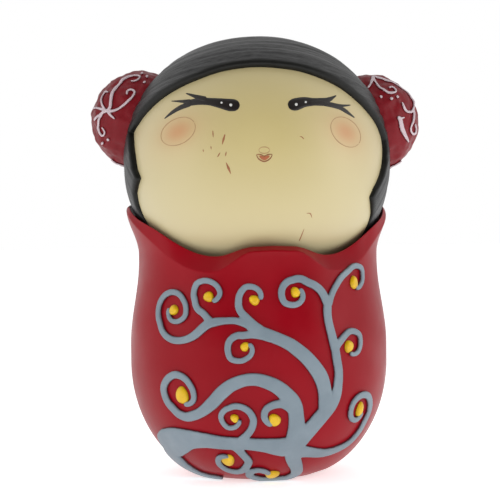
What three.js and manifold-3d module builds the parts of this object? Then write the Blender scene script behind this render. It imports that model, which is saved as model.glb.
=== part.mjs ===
// Kokeshi doll with a round head that turns in a petal-edged collar.
// Millimetres, +Z up. The origin is the middle of the flat base and the doll faces -Y.
// "Angle" is measured round the doll in degrees: 0 at the front, positive towards +X.
import * as THREE from 'three';
import { mergeVertices } from 'three/addons/utils/BufferGeometryUtils.js';
import { TessellateModifier } from 'three/addons/modifiers/TessellateModifier.js';
import Module from 'manifold-3d';

const wasm = await Module();
wasm.setup();

// ---- driving dimensions ----
const GAP = 0.3;                 // clearance between pieces that are fitted or glued together

const BASE_R = 14;               // flat foot of the body
const BELLY_R = 38.3;            // widest part of the body
const BELLY_LOW_Z = 34;
const BELLY_HIGH_Z = 39;
const WAIST_R = 35.6;            // narrowest part, just below the petals
const WAIST_LOW_Z = 64.5;
const WAIST_HIGH_Z = 66;
const FLARE_R = 39.2;            // petal tips
const FLARE_Z = 80;
const BELLY_FULLNESS = 0.55;     // how square the bottom of the body is

const SHELL_WALL = 3.2;          // wall of the hollow body
const FOOT_THICKENING = 0.06;    // the wall grows by this much per millimetre below the belly
const FLOOR_T = 3;               // floor round the base hole
const BASE_HOLE_R = 12;
const SHELF_Z = 52;              // underside of the shelf that carries the neck socket
const SHELF_T = 4;
const SHELF_COVE_Z = 60;         // the collar wall begins to curve into the shelf here
const SHELF_COVE = 2.5;
const COLLAR_WALL_LOW = 3.6;     // the collar wall thins from the dips to the petal tips
const COLLAR_WALL_HIGH = 1.0;
const SHELL_SEGMENTS = 48;

const ROUND_SEGMENTS = 28;       // small turned pieces
const BUN_PEG_SEGMENTS = 20;
const BERRY_SEGMENTS = 10;

const SOCKET_R = 11;
const SOCKET_FLANGE_R = 13.5;
const SOCKET_BOTTOM_Z = 49;
const SOCKET_TOP_Z = 57.8;
const PEG_R = 6.9;
const PEG_SHOULDER_R = 9.5;
const PEG_FOOT_R = 8.8;
const PEG_BOTTOM_Z = 45.5;
const PEG_TOP_Z = 67;

const HEAD_TURN = -3;            // the head sits turned a little on its peg
const HEAD_Z = 93.9;             // middle of the head
const HEAD_R = 37.9;             // half width and half depth of the face surface
const HEAD_H = 35.1;             // half height of the face surface
const HEAD_POWER_UP = 2.05;      // 2 is an ellipse; more is fuller, above and below the middle
const HEAD_POWER_DOWN = 2.5;
const HEAD_WALL = 2.6;
const HEAD_BOTTOM_Z = 60;        // flat where the head sits on its peg
const HEAD_SEGMENTS = 44;
const HEAD_STEPS = 12;           // points up the outside of the head

const HAIR_R = 39.7;             // half width of the hair
const HAIR_H = 36.7;
const HAIR_POWER_UP = 2.08;
const HAIR_POWER_DOWN = 2.2;
const HAIR_BOTTOM_Z = 66;        // hem of the hair, down inside the collar

const BUN_R = 14.5;
const BUN_X = 34.7;
const BUN_Y = 9;
const BUN_Z = 105.4;
const BUN_UNEVEN = 0.8;          // the right bun sits this much higher, and the left one lower
const BUN_PEG_R = 2.6;
const BUN_PEG_IN = 7;            // how far the bun peg reaches towards the head's middle
const BUN_PEG_OUT = 5;           // and how far it reaches into the bun

const RELIEF_LIFT = 0.35;        // underside of the raised vine above the body
const RELIEF_T = 0.8;            // thickness of the raised vine
const BERRY_R = 1.5;
const BERRY_H = 1.2;
const FOOT_CLEARANCE = 0.1;      // ornament near the foot stops this far above the table
const RELIEF_STEP = 2.0;         // spacing of the points along a tendril
const RELIEF_EDGE = 7;           // longest flat edge before the vine is bent round the body
const SPLIT_ROUNDS = 12;         // most times an edge is halved to get there
const STEEPEST = 0.35;           // flat drawings squash no further than this where the foot turns in

// Heights of the petal edge on the outside of the collar: [angle from the front petal, height].
const PETAL_TURN = 2.7;          // the middle of the front petal
const PETAL_EDGE = [[0, 67.9], [9, 67.7], [30, 61.8], [106, 80.2], [152, 63.5], [180, 68]];
// How much higher the inner edge of the rim is than the outer edge.
const RIM_RISE = [
  [0, 1.4], [9, 1.4], [30, 4.6], [60, 4.6], [86, 1.5], [106, 0.6], [152, 3.6], [180, 1.4],
];

// The vine: [angle, height, width] along each tendril. A curl at its end sets off from a start
// direction as seen from its eye (degrees, 0 towards +angle, 90 upwards) and turns anticlockwise
// (1) or clockwise (-1), with one radius for every sixth of a turn. Its width ends at `end`.
const VINE = [
  { path: [[-70, 9.4, 6], [-65, 10.6, 9], [-58, 11.9, 10], [-50, 13.1, 9], [-42, 13.8, 6.6],
    [-33, 13.8, 5.2], [-24, 13.3, 4.6], [-12, 13.1, 4], [-2.5, 12.6, 4.8], [4, 12.1, 6.2], [12, 11.8, 8]] },
  { path: [[-66, 10.4, 9], [-67, 7, 9], [-66.5, 4.2, 8], [-60, 2.1, 5], [-50, 1.5, 3.2], [-38, 1.4, 1.6]] },
  { path: [[12.5, 12, 6.5], [12, 18, 4.9], [11.3, 21, 4.5], [10.4, 23.5, 4.6], [8.8, 25.5, 4.6],
    [6.4, 27.3, 4.4], [3.2, 29.2, 4.1], [-0.5, 30.6, 3.9], [-5.7, 31.7, 3.6], [-11, 31.6, 3.5],
    [-16.7, 30.2, 3.7], [-21, 28.1, 3.9], [-26.2, 24.8, 3.7], [-32, 22.1, 3]],
    curl: { eye: [-40.7, 26.7], start: -75, turn: -1,
      radii: [6.3, 5.6, 6.8, 6.2, 4.6, 4.1, 2.4], end: 1.4 } },
  { path: [[10.6, 21.5, 3.2], [8.6, 23.2, 2.6]],
    curl: { eye: [1.6, 20], start: 65, turn: 1, radii: [5.4, 4.2, 2.3, 1.2], end: 1.4 } },
  { path: [[-15.2, 13.6, 3], [-12.2, 15.2, 2.3], [-9.2, 17.3, 2.1]],
    curl: { eye: [-16.3, 20.6], start: -10, turn: 1,
      radii: [5.4, 4.3, 3.5, 3.9, 3.5, 2.1, 1.3], end: 1.2 } },
  { path: [[12.5, 12, 6.5], [16.8, 15.2, 5.2], [20.6, 18.2, 5], [24.4, 21.2, 5], [27.6, 23.6, 4.6],
    [29.6, 26, 3.7], [30.4, 29, 3.1], [30.6, 33, 2.8], [29.7, 36.5, 2.8], [28.9, 39.5, 2.8],
    [27.6, 43, 2.8], [26.3, 47.2, 2.6], [26.1, 50, 2.6], [26.8, 52.6, 2.8]] },
  { path: [[25.2, 21.5, 4.4], [24.5, 24.5, 4.2], [23.8, 28, 4.3], [21.4, 32.3, 4.5], [16, 37, 4.1],
    [9.6, 40.7, 3.8], [5, 42.5, 3.5], [-1, 44.2, 3.5], [-6, 45.6, 3.3], [-9.7, 47.2, 2.5],
    [-14.7, 48.2, 2], [-19.3, 48.2, 2], [-24.2, 47.8, 2.5], [-28, 46.9, 2.7], [-33.4, 44, 2.4],
    [-37.9, 42.7, 2.1]],
    curl: { eye: [-45.5, 50.9], start: -80, turn: -1,
      radii: [8.8, 6.3, 6.1, 5.2, 4.5, 4.7, 3.3, 2.1, 1.4], end: 1.3 } },
  { path: [[2, 43.2, 3.2], [-3.7, 44.1, 2.5], [-8, 44.4, 2.2]],
    curl: { eye: [-11, 41], start: 100, turn: 1, radii: [3.2, 4.6, 5.2, 3.3, 2.2, 1.2], end: 1.2 } },
  { path: [[-25.5, 47.6, 2.4], [-27.5, 48.8, 2.1]],
    curl: { eye: [-27.7, 54.9], start: -105, turn: -1,
      radii: [4.9, 4.3, 5.3, 4.2, 3.6, 1.8], end: 1.4 } },
  { path: [[-3.5, 45.2, 3], [-6.9, 47, 2.3]],
    curl: { eye: [-6.9, 54], start: -118, turn: -1, radii: [5.3, 4.4, 4.4, 2.9, 1.5], end: 1.4 } },
  { path: [[26.8, 51.6, 2.6], [24.8, 55.2, 2.5], [21.7, 57.4, 2.4]],
    curl: { eye: [11.6, 56], start: 40, turn: 1, radii: [4.5, 3.6, 4, 4.4, 3.3, 2.1, 1.2], end: 1.4 } },
  { path: [[26.8, 51.6, 2.2], [29.3, 54.9, 1.9], [32.4, 57.5, 1.9], [36.3, 59.9, 1.9], [41.3, 61.7, 1.8]],
    curl: { eye: [44.3, 58], start: -257, turn: -1, radii: [4.4, 5.7, 2.9, 1.4], end: 1.3 } },
  { path: [[28.6, 39.5, 2.4], [30.9, 41.2, 2.2], [33.9, 42.9, 2]],
    curl: { eye: [36.8, 40], start: -265, turn: -1, radii: [4, 5.3, 3.9, 1.8], end: 1.2 } },
  { path: [[12, 12, 6], [15.5, 10.6, 4.8], [22, 9.9, 3.7], [31.6, 9.2, 3], [40.9, 9.8, 2.6],
    [48.8, 11.4, 2.4], [53.3, 14.2, 2.4]],
    curl: { eye: [47.1, 21.3], start: -35, turn: 1,
      radii: [6.2, 4.9, 4.5, 4.6, 4.1, 3, 1.4], end: 1.4 } },
  { path: [[-20, 12.8, 3.2], [-17, 11.9, 2.8], [-14.3, 9.9, 2.4]],
    curl: { eye: [-23.7, 7.7], start: 0, turn: -1, radii: [6, 5.4, 4.2, 2.9, 2.1, 1.3], end: 1.4 } },
  { path: [[12.4, 11, 6.2], [14.2, 7.8, 4.4], [18.6, 5, 3.7], [21.2, 3, 3.6], [18, 1.7, 3.2],
    [10, 1.4, 3], [0, 1.4, 3], [-8, 1.8, 2.8], [-12.6, 2.9, 2.5], [-10.5, 4.3, 2.3], [-5.5, 4.7, 2],
    [-1, 4, 1.8], [1.5, 3.2, 1.4]] },
];

// The raised berries: [angle, height, size, how much taller than wide].
const BERRIES = [
  [-45.5, 50.9, 1, 1.1], [-27.7, 54.9, 1, 1.1], [-6.9, 54, 1, 1], [11.6, 56, 1, 1],
  [44.3, 58, 1.05, 1.2], [-11, 41, 0.9, 1], [36.8, 40, 1.05, 1.2], [-40.7, 26.7, 1.4, 1.35],
  [-16.3, 20.6, 0.8, 1.1], [1.6, 20, 1.25, 1], [47.1, 21.3, 1, 1.45], [-23.7, 7.7, 1.4, 1.1],
  [3.5, 2.9, 1.4, 1],
];

// The sprig on each bun, in a flat drawing whose middle is the bun's front: [outwards, up, width].
const SPRIG = [
  { path: [[2, -1, 0.9], [7.6, 2.6, 1.4], [11.6, 2.2, 1.9]] },
  { path: [[7, 2.4, 1.6], [4.6, 4.4, 1.3], [3, 6.2, 1.1]],
    curl: { eye: [2.6, 8.2], start: -60, turn: 1, radii: [1.7, 1.6, 1.4, 1.1, 0.9], end: 0.9 } },
  { path: [[8.4, 2.6, 1.2], [8.6, 6.4, 1.1], [6.8, 10.2, 1], [3.6, 12.6, 0.9], [0.4, 13, 0.8]] },
  { path: [[9.4, 2.6, 1.1], [10.6, 6.2, 0.9], [9.6, 9.4, 0.7]] },
  { path: [[9.2, 2.4, 1.2], [10.4, -1.2, 1.1], [11, -4.6, 0.9], [9.6, -6.8, 0.7]] },
];
const SPRIG_LIFT = 0.35;
const SPRIG_T = 0.6;
const SPRIG_STEP = 1.3;
const SPRIG_EDGE = 3;

// ---- materials ----
const RED_ENAMEL = { color: 0x8f1520, roughness: 0.35 };
const BUN_RED = { color: 0x7a2328, roughness: 0.45 };
const VINE_BLUE = { color: 0x8797a4, roughness: 0.55 };
const BERRY_YELLOW = { color: 0xd8a818, roughness: 0.4 };
const FACE_CREAM = { color: 0xd3c394, roughness: 0.45 };
const HAIR_GREY = { color: 0x4a4a4a, roughness: 0.5 };
const SPRIG_WHITE = { color: 0xd6c8cc, roughness: 0.5 };
const DOWEL_WOOD = { color: 0xc8a878, roughness: 0.6 };
const PLUG_GREY = { color: 0x3a3836, roughness: 0.7 };

// ---- solids ----
function toSolid(geometry) {
  const plain = geometry.clone();
  for (const name of Object.keys(plain.attributes)) {
    if (name !== 'position') plain.deleteAttribute(name);
  }
  const merged = mergeVertices(plain, 1e-4);
  return new wasm.Manifold(new wasm.Mesh({
    numProp: 3,
    vertProperties: new Float32Array(merged.attributes.position.array),
    triVerts: new Uint32Array(dropSlivers(merged.index.array)),
  }));
}

function dropSlivers(index) {
  const kept = [];
  for (let i = 0; i < index.length; i += 3) {
    const [a, b, c] = [index[i], index[i + 1], index[i + 2]];
    if (a !== b && b !== c && c !== a) kept.push(a, b, c);
  }
  return kept;
}

function toGeometry(solid) {
  const mesh = solid.getMesh();
  const geometry = new THREE.BufferGeometry();
  geometry.setAttribute('position', new THREE.BufferAttribute(new Float32Array(mesh.vertProperties), 3));
  geometry.setIndex(new THREE.BufferAttribute(new Uint32Array(mesh.triVerts), 1));
  geometry.computeVertexNormals();
  return geometry;
}

function named(name, geometry, finish) {
  const mesh = new THREE.Mesh(geometry, new THREE.MeshStandardMaterial({ ...finish, metalness: 0 }));
  mesh.name = name;
  return mesh;
}

// A surface of revolution about Z from [radius, height] points, which run up the outside.
function turned(profile, segments) {
  const points = profile.map(([r, z]) => new THREE.Vector2(r, z));
  const geometry = new THREE.LatheGeometry(points, segments);
  geometry.rotateX(Math.PI / 2);
  return geometry;
}

function turnedSolid(profile, segments) {
  return toSolid(turned(profile, segments));
}

// A smooth value through [angle from the front petal, value] stops, level at each stop.
function alongStops(stops, angle) {
  const turned = Math.abs(angle - PETAL_TURN);
  const side = Math.min(turned, 360 - turned);
  for (let i = 1; i < stops.length; i++) {
    const [a0, v0] = stops[i - 1];
    const [a1, v1] = stops[i];
    if (side <= a1) return v0 + (v1 - v0) * (1 - Math.cos(Math.PI * (side - a0) / (a1 - a0))) / 2;
  }
  return stops[stops.length - 1][1];
}

function frontAngle(x, y) {
  return THREE.MathUtils.radToDeg(Math.atan2(x, -y));
}

// ---- body ----
// A smooth step from 0 to 1 between two heights.
function ease(z, from, to) {
  const t = THREE.MathUtils.clamp((z - from) / (to - from), 0, 1);
  return (1 - Math.cos(Math.PI * t)) / 2;
}

function bodyRadius(z) {
  const t = THREE.MathUtils.clamp(z / BELLY_LOW_Z, 0, 1);
  const bowl = BASE_R + (BELLY_R - BASE_R) * Math.pow(1 - (1 - t) * (1 - t), BELLY_FULLNESS);
  const pinch = (BELLY_R - WAIST_R) * ease(z, BELLY_HIGH_Z, WAIST_LOW_Z);
  const flare = (FLARE_R - WAIST_R) * ease(z, WAIST_HIGH_Z, FLARE_Z);
  return bowl - pinch + flare;
}

// Outward direction of the body wall at a height, as [radial, upward].
function bodyNormal(z) {
  const dz = 0.2;
  const rise = bodyRadius(z + dz) - bodyRadius(Math.max(0, z - dz));
  const run = dz + Math.min(z, dz);
  const length = Math.hypot(rise, run);
  return [run / length, -rise / length];
}

function collarInnerRadius(z) {
  const t = THREE.MathUtils.clamp((z - WAIST_HIGH_Z) / (FLARE_Z - WAIST_HIGH_Z), 0, 1);
  return bodyRadius(z) - COLLAR_WALL_LOW + (COLLAR_WALL_LOW - COLLAR_WALL_HIGH) * t;
}

function cavityRadius(z) {
  return bodyRadius(z) - SHELL_WALL - Math.max(0, BELLY_LOW_Z - z) * FOOT_THICKENING;
}

function span(from, to, steps) {
  return Array.from({ length: steps + 1 }, (_, i) => from + (to - from) * i / steps);
}

function bodyShell() {
  const shelfTop = SHELF_Z + SHELF_T;
  const shelfHoleR = SOCKET_R + GAP;
  const profileTop = FLARE_Z + 3;
  // The foot curves away quickly, so the heights crowd together towards the base.
  const lowHeights = span(0, 1, 7).map((t) => BELLY_LOW_Z * t * t);
  const midHeights = span(BELLY_HIGH_Z, WAIST_LOW_Z, 5);
  const highHeights = span(WAIST_HIGH_Z, FLARE_Z, 4);
  const profile = [
    [BASE_HOLE_R, 0],
    ...[...lowHeights, ...midHeights, ...highHeights, profileTop].map((z) => [bodyRadius(z), z]),
    ...[profileTop, ...span(FLARE_Z, SHELF_COVE_Z, 5)].map((z) => [collarInnerRadius(z), z]),
    [collarInnerRadius(SHELF_COVE_Z) - SHELF_COVE, shelfTop],
    [shelfHoleR, shelfTop],
    [shelfHoleR, SHELF_Z],
    ...span(SHELF_Z, FLOOR_T, 5).map((z) => [cavityRadius(z), z]),
    [BASE_HOLE_R, FLOOR_T],
    [BASE_HOLE_R, 0],
  ];
  return turnedSolid(profile, SHELL_SEGMENTS).subtract(aboveTheRim());
}

// Everything above the petal edge: a ring whose underside follows the wavy, sloping rim.
function aboveTheRim() {
  const inner = 28;
  const outer = 42;
  const top = FLARE_Z + 14;
  const low = 50;
  const underside = span(inner, outer, 6).map((r) => [r, low]);
  const ring = turned([...underside, [outer, top], [inner, top], [inner, low]], SHELL_SEGMENTS * 2);
  const position = ring.attributes.position;
  for (let i = 0; i < position.count; i++) {
    const onUnderside = position.getZ(i) < low + 1;
    if (onUnderside) {
      const x = position.getX(i);
      const y = position.getY(i);
      position.setZ(i, Math.min(top - 1, rimHeight(frontAngle(x, y), Math.hypot(x, y))));
    }
  }
  return toSolid(ring);
}

// The rim's top face climbs in a straight line from its outer edge to its inner edge.
function rimHeight(angle, r) {
  const edge = alongStops(PETAL_EDGE, angle);
  const rise = alongStops(RIM_RISE, angle);
  const outerR = bodyRadius(edge);
  const innerR = collarInnerRadius(edge + rise);
  return edge + rise * (outerR - r) / (outerR - innerR);
}

// A stopper with a lip that snaps over the floor, and a chamfer to push it in by.
function basePlug() {
  const r = BASE_HOLE_R - GAP;
  const chamfer = 0.4;
  const lipR = r + 0.9;
  const lipLow = FLOOR_T + 0.5;
  const top = FLOOR_T + 1.8;
  return turnedSolid([
    [0, 0], [r - chamfer, 0], [r, chamfer], [r, FLOOR_T], [lipR, lipLow], [r - chamfer, top], [0, top],
  ], ROUND_SEGMENTS);
}

// A flanged bush glued into the shelf, with a chamfered lower end and a clear bore for the peg.
function neckSocket() {
  const bore = PEG_R + GAP;
  const chamfer = 0.6;
  const flangeZ = SHELF_Z + SHELF_T + GAP;
  return turnedSolid([
    [bore, SOCKET_BOTTOM_Z], [SOCKET_R - chamfer, SOCKET_BOTTOM_Z], [SOCKET_R, SOCKET_BOTTOM_Z + chamfer],
    [SOCKET_R, flangeZ], [SOCKET_FLANGE_R, flangeZ], [SOCKET_FLANGE_R, SOCKET_TOP_Z - chamfer],
    [SOCKET_FLANGE_R - chamfer, SOCKET_TOP_Z], [bore, SOCKET_TOP_Z], [bore, SOCKET_BOTTOM_Z],
  ], ROUND_SEGMENTS);
}

// ---- raised ornament ----
// Curls are drawn flat and then bent round the body. Flat x is the angle as an arc length at
// the belly and flat y is the height, so a length on the surface is first scaled to that map.
const ARC_PER_DEGREE = THREE.MathUtils.degToRad(1) * BELLY_R;

const bodyMap = {
  flat: ([angle, z]) => new THREE.Vector2(angle * ARC_PER_DEGREE, z),
  scale: (y) => [BELLY_R / bodyRadius(y), Math.max(STEEPEST, bodyNormal(y)[0])],
};

// A map for the doll's left side (side 1), or the same drawing mirrored for its right (side -1).
function sideMap(side) {
  return {
    flat: ([x, y]) => new THREE.Vector2(side * x, y),
    scale: () => [side, 1],
  };
}

// The value part way between two neighbours in a list, for a place counted in list items.
function between(values, place) {
  const i = Math.min(Math.floor(place), values.length - 2);
  return values[i] + (values[i + 1] - values[i]) * (place - i);
}

// A curl as flat points, two for every radius given.
function curlPoints(curl, map) {
  const eye = map.flat(curl.eye);
  const [sx, sy] = map.scale(eye.y);
  const sixths = curl.radii.length - 1;
  return span(0, sixths, 2 * sixths).map((place) => {
    const direction = THREE.MathUtils.degToRad(curl.start + curl.turn * 60 * place);
    const radius = between(curl.radii, place);
    return new THREE.Vector2(
      eye.x + radius * Math.cos(direction) * sx,
      eye.y + radius * Math.sin(direction) * sy,
    );
  });
}

function tendrilOutline(tendril, map, step) {
  const guide = tendril.path.map(map.flat);
  const widths = tendril.path.map((place) => place[2]);
  if (tendril.curl) {
    const curl = curlPoints(tendril.curl, map);
    guide.push(...curl);
    widths.push(...span(widths[widths.length - 1], tendril.curl.end, curl.length).slice(1));
  }
  const curve = new THREE.SplineCurve(guide);
  const steps = Math.max(3, Math.round(curve.getLength() / step));
  const left = [];
  const right = [];
  for (let i = 0; i <= steps; i++) {
    const t = i / steps;
    const point = curve.getPointAt(t);
    const tangent = curve.getTangentAt(t);
    const [sx, sy] = map.scale(point.y);
    const along = new THREE.Vector2(tangent.x / sx, tangent.y / sy).normalize();
    const half = between(widths, curve.getUtoTmapping(t) * (widths.length - 1)) / 2;
    const side = new THREE.Vector2(-along.y * half * sx, along.x * half * sy);
    left.push(point.clone().add(side));
    right.push(point.clone().sub(side));
  }
  return new THREE.Shape([...left, ...right.reverse()]);
}

function flatTendrils(tendrils, map, thickness, step) {
  let solid = null;
  for (const tendril of tendrils) {
    const shape = tendrilOutline(tendril, map, step);
    const ribbon = toSolid(new THREE.ExtrudeGeometry(shape, { depth: thickness, bevelEnabled: false }));
    solid = solid ? solid.add(ribbon) : ribbon;
  }
  return solid;
}

// Moves every vertex of a flat solid with bend(x, y, depth), after splitting its long edges.
function bent(solid, bend, longestEdge) {
  const loose = toGeometry(solid).toNonIndexed();
  loose.deleteAttribute('normal');
  const fine = new TessellateModifier(longestEdge, SPLIT_ROUNDS).modify(loose);
  const position = fine.attributes.position;
  for (let i = 0; i < position.count; i++) {
    const place = bend(position.getX(i), position.getY(i), position.getZ(i));
    position.setXYZ(i, place.x, place.y, place.z);
  }
  return toSolid(fine);
}

function onBody(x, y, depth) {
  const angle = x / BELLY_R;
  const [radial, up] = bodyNormal(y);
  const r = bodyRadius(y) + depth * radial;
  const z = Math.max(FOOT_CLEARANCE, y + depth * up);
  return new THREE.Vector3(r * Math.sin(angle), -r * Math.cos(angle), z);
}

function berryRadius(berry) {
  return BERRY_R * berry[2];
}

function vineRelief() {
  let flat = flatTendrils(VINE, bodyMap, RELIEF_T, RELIEF_STEP);
  for (const berry of BERRIES) {
    const r = berryRadius(berry) + GAP;
    const eye = bodyMap.flat(berry);
    const [sx, sy] = bodyMap.scale(eye.y);
    const hole = new THREE.CylinderGeometry(r, r, 3 * RELIEF_T, 16);
    hole.rotateX(Math.PI / 2);
    hole.scale(sx, sy * berry[3], 1);
    hole.translate(eye.x, eye.y, RELIEF_T / 2);
    flat = flat.subtract(toSolid(hole));
  }
  return bent(flat, (x, y, depth) => onBody(x, y, RELIEF_LIFT + depth), RELIEF_EDGE);
}

function berry(place) {
  const r = berryRadius(place);
  const shoulder = [0.97 * r, 0.4 * BERRY_H];
  const crown = [0.7 * r, 0.85 * BERRY_H];
  const geometry = turned([[0, 0], [r, 0], shoulder, crown, [0, BERRY_H]], BERRY_SEGMENTS);
  const eye = bodyMap.flat(place);
  const [sx, sy] = bodyMap.scale(eye.y);
  const position = geometry.attributes.position;
  for (let i = 0; i < position.count; i++) {
    const x = eye.x + position.getX(i) * sx;
    const y = eye.y + position.getY(i) * sy * place[3];
    const spot = onBody(x, y, RELIEF_LIFT + position.getZ(i));
    position.setXYZ(i, spot.x, spot.y, spot.z);
  }
  return geometry;
}

// ---- head ----
// Points up the side of the head or hair from a height to its top. The outline is a superellipse
// with one power above the middle and another below it.
function headSide(radius, height, powers, bottomZ, steps) {
  const lowest = Math.acos(Math.max(-1, (bottomZ - HEAD_Z) / height));
  return span(lowest, 0, steps).map((a) => {
    const up = Math.cos(a);
    const power = up > 0 ? powers[0] : powers[1];
    const r = radius * Math.pow(Math.max(0, 1 - Math.pow(Math.abs(up), power)), 1 / power);
    return [r, HEAD_Z + height * up];
  });
}

const HEAD_POWERS = [HEAD_POWER_UP, HEAD_POWER_DOWN];
const HAIR_POWERS = [HAIR_POWER_UP, HAIR_POWER_DOWN];

function headShell() {
  const hole = PEG_R + GAP;
  const floorZ = HEAD_BOTTOM_Z + HEAD_WALL;
  const outside = headSide(HEAD_R, HEAD_H, HEAD_POWERS, HEAD_BOTTOM_Z, HEAD_STEPS);
  const inside = headSide(HEAD_R - HEAD_WALL, HEAD_H - HEAD_WALL, HEAD_POWERS, floorZ, HEAD_STEPS - 4);
  const profile = [...inside.reverse(), [hole, floorZ], [hole, HEAD_BOTTOM_Z], ...outside];
  let solid = turnedSolid(profile, HEAD_SEGMENTS);
  for (const side of [-1, 1]) solid = solid.subtract(bunPeg(side, GAP));
  return solid;
}

function hairCap() {
  const outside = headSide(HAIR_R, HAIR_H, HAIR_POWERS, HAIR_BOTTOM_Z, HEAD_STEPS);
  const inside = headSide(HEAD_R + GAP, HEAD_H + GAP, HEAD_POWERS, HAIR_BOTTOM_Z, HEAD_STEPS);
  let solid = turnedSolid([...inside.reverse(), ...outside], HEAD_SEGMENTS).subtract(faceWindow());
  for (const side of [-1, 1]) solid = solid.subtract(bunPeg(side, GAP));
  return solid;
}

// The opening of the hair round the face, seen from the front: a rounded brow that comes down
// to a corner at each temple, then a lock in front of each ear.
function faceWindow() {
  const half = [
    [0, 120.6], [10.2, 119.6], [17.5, 117.5], [23.4, 114.6], [28.4, 111.2], [32.4, 107.3], [35.4, 103.4],
    [36.6, 100], [36.5, 95], [35.3, 89], [34.8, 86], [35.4, 80], [33, 74], [28, 68], [22, 60],
  ];
  const shape = new THREE.Shape([
    ...half.map(([x, z]) => new THREE.Vector2(x, z)),
    ...half.slice(1).reverse().map(([x, z]) => new THREE.Vector2(-x, z)),
  ]);
  const cutLength = 57;
  const cutEnd = -3;
  const window = new THREE.ExtrudeGeometry(shape, { depth: cutLength, bevelEnabled: false });
  window.rotateX(Math.PI / 2);
  window.translate(0, cutEnd, 0);
  return toSolid(window);
}

// One turned dowel: a foot that snaps through the socket, a shoulder under the head, and a top
// that is glued into the head.
function neckPeg() {
  const chamfer = 1;
  const shoulderLow = SOCKET_TOP_Z + GAP;
  const shoulderHigh = HEAD_BOTTOM_Z - GAP;
  const footTop = SOCKET_BOTTOM_Z - GAP;
  return turnedSolid([
    [0, PEG_BOTTOM_Z], [PEG_R - chamfer, PEG_BOTTOM_Z], [PEG_FOOT_R, footTop - chamfer],
    [PEG_FOOT_R, footTop], [PEG_R, footTop], [PEG_R, shoulderLow], [PEG_SHOULDER_R, shoulderLow],
    [PEG_SHOULDER_R, shoulderHigh],
    [PEG_R, shoulderHigh], [PEG_R, PEG_TOP_Z - chamfer], [PEG_R - chamfer, PEG_TOP_Z], [0, PEG_TOP_Z],
  ], ROUND_SEGMENTS);
}

// ---- buns ----
function bunCentre(side) {
  return new THREE.Vector3(side * BUN_X, BUN_Y, BUN_Z - side * BUN_UNEVEN);
}

// Direction from the head's middle out through a bun.
function bunOutward(side) {
  return bunCentre(side).sub(new THREE.Vector3(0, 0, HEAD_Z)).normalize();
}

function bunPeg(side, clearance) {
  const r = BUN_PEG_R + clearance;
  const length = BUN_PEG_IN + BUN_PEG_OUT + 2 * clearance;
  const peg = new THREE.CylinderGeometry(r, r, length, BUN_PEG_SEGMENTS);
  const drawnAlong = new THREE.Vector3(0, 1, 0);
  peg.applyQuaternion(new THREE.Quaternion().setFromUnitVectors(drawnAlong, bunOutward(side)));
  const middle = bunCentre(side).addScaledVector(bunOutward(side), (BUN_PEG_OUT - BUN_PEG_IN) / 2);
  peg.translate(middle.x, middle.y, middle.z);
  return toSolid(peg);
}

function hairOuterSolid(clearance) {
  const height = HAIR_H + clearance;
  const side = headSide(HAIR_R + clearance, height, HAIR_POWERS, HEAD_Z - height, 2 * HEAD_STEPS);
  return turnedSolid(side, HEAD_SEGMENTS);
}

function bun(side) {
  const ball = new THREE.SphereGeometry(BUN_R, 24, 14);
  const centre = bunCentre(side);
  ball.translate(centre.x, centre.y, centre.z);
  return toSolid(ball).subtract(hairOuterSolid(GAP)).subtract(bunPeg(side, GAP));
}

// The sprig is wrapped round the bun, keeping distances from the front of the bun true.
function bunSprig(side) {
  const flat = flatTendrils(SPRIG, sideMap(side), SPRIG_T, SPRIG_STEP);
  const centre = bunCentre(side);
  const wrap = (x, y, depth) => {
    const reach = Math.hypot(x, y) / BUN_R;
    const around = Math.atan2(y, x);
    const r = BUN_R + SPRIG_LIFT + depth;
    const sideways = r * Math.sin(reach) * Math.cos(around);
    const up = r * Math.sin(reach) * Math.sin(around);
    return new THREE.Vector3(centre.x + sideways, centre.y - r * Math.cos(reach), centre.z + up);
  };
  return bent(flat, wrap, SPRIG_EDGE).subtract(hairOuterSolid(GAP));
}

// ---- assembly ----
const doll = new THREE.Group();

const body = new THREE.Group();
body.add(named('body_shell', toGeometry(bodyShell()), RED_ENAMEL));
body.add(named('base_plug', toGeometry(basePlug()), PLUG_GREY));
body.add(named('neck_socket', toGeometry(neckSocket()), DOWEL_WOOD));
body.add(named('vine_relief', toGeometry(vineRelief()), VINE_BLUE));
BERRIES.forEach((place, i) => {
  const name = `berry_${String(i + 1).padStart(2, '0')}`;
  body.add(named(name, berry(place), BERRY_YELLOW));
});
doll.add(body);

const head = new THREE.Group();
head.rotation.z = THREE.MathUtils.degToRad(HEAD_TURN);
head.add(named('head_shell', toGeometry(headShell()), FACE_CREAM));
head.add(named('hair_cap', toGeometry(hairCap()), HAIR_GREY));
head.add(named('neck_peg', toGeometry(neckPeg()), DOWEL_WOOD));
for (const [side, word] of [[-1, 'right'], [1, 'left']]) {
  head.add(named(`bun_${word}`, toGeometry(bun(side)), BUN_RED));
  head.add(named(`bun_peg_${word}`, toGeometry(bunPeg(side, 0)), DOWEL_WOOD));
  head.add(named(`bun_sprig_${word}`, toGeometry(bunSprig(side)), SPRIG_WHITE));
}
doll.add(head);

export default doll;
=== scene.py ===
import math

import bpy
import numpy as np
from mathutils import Matrix, Vector, noise

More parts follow.
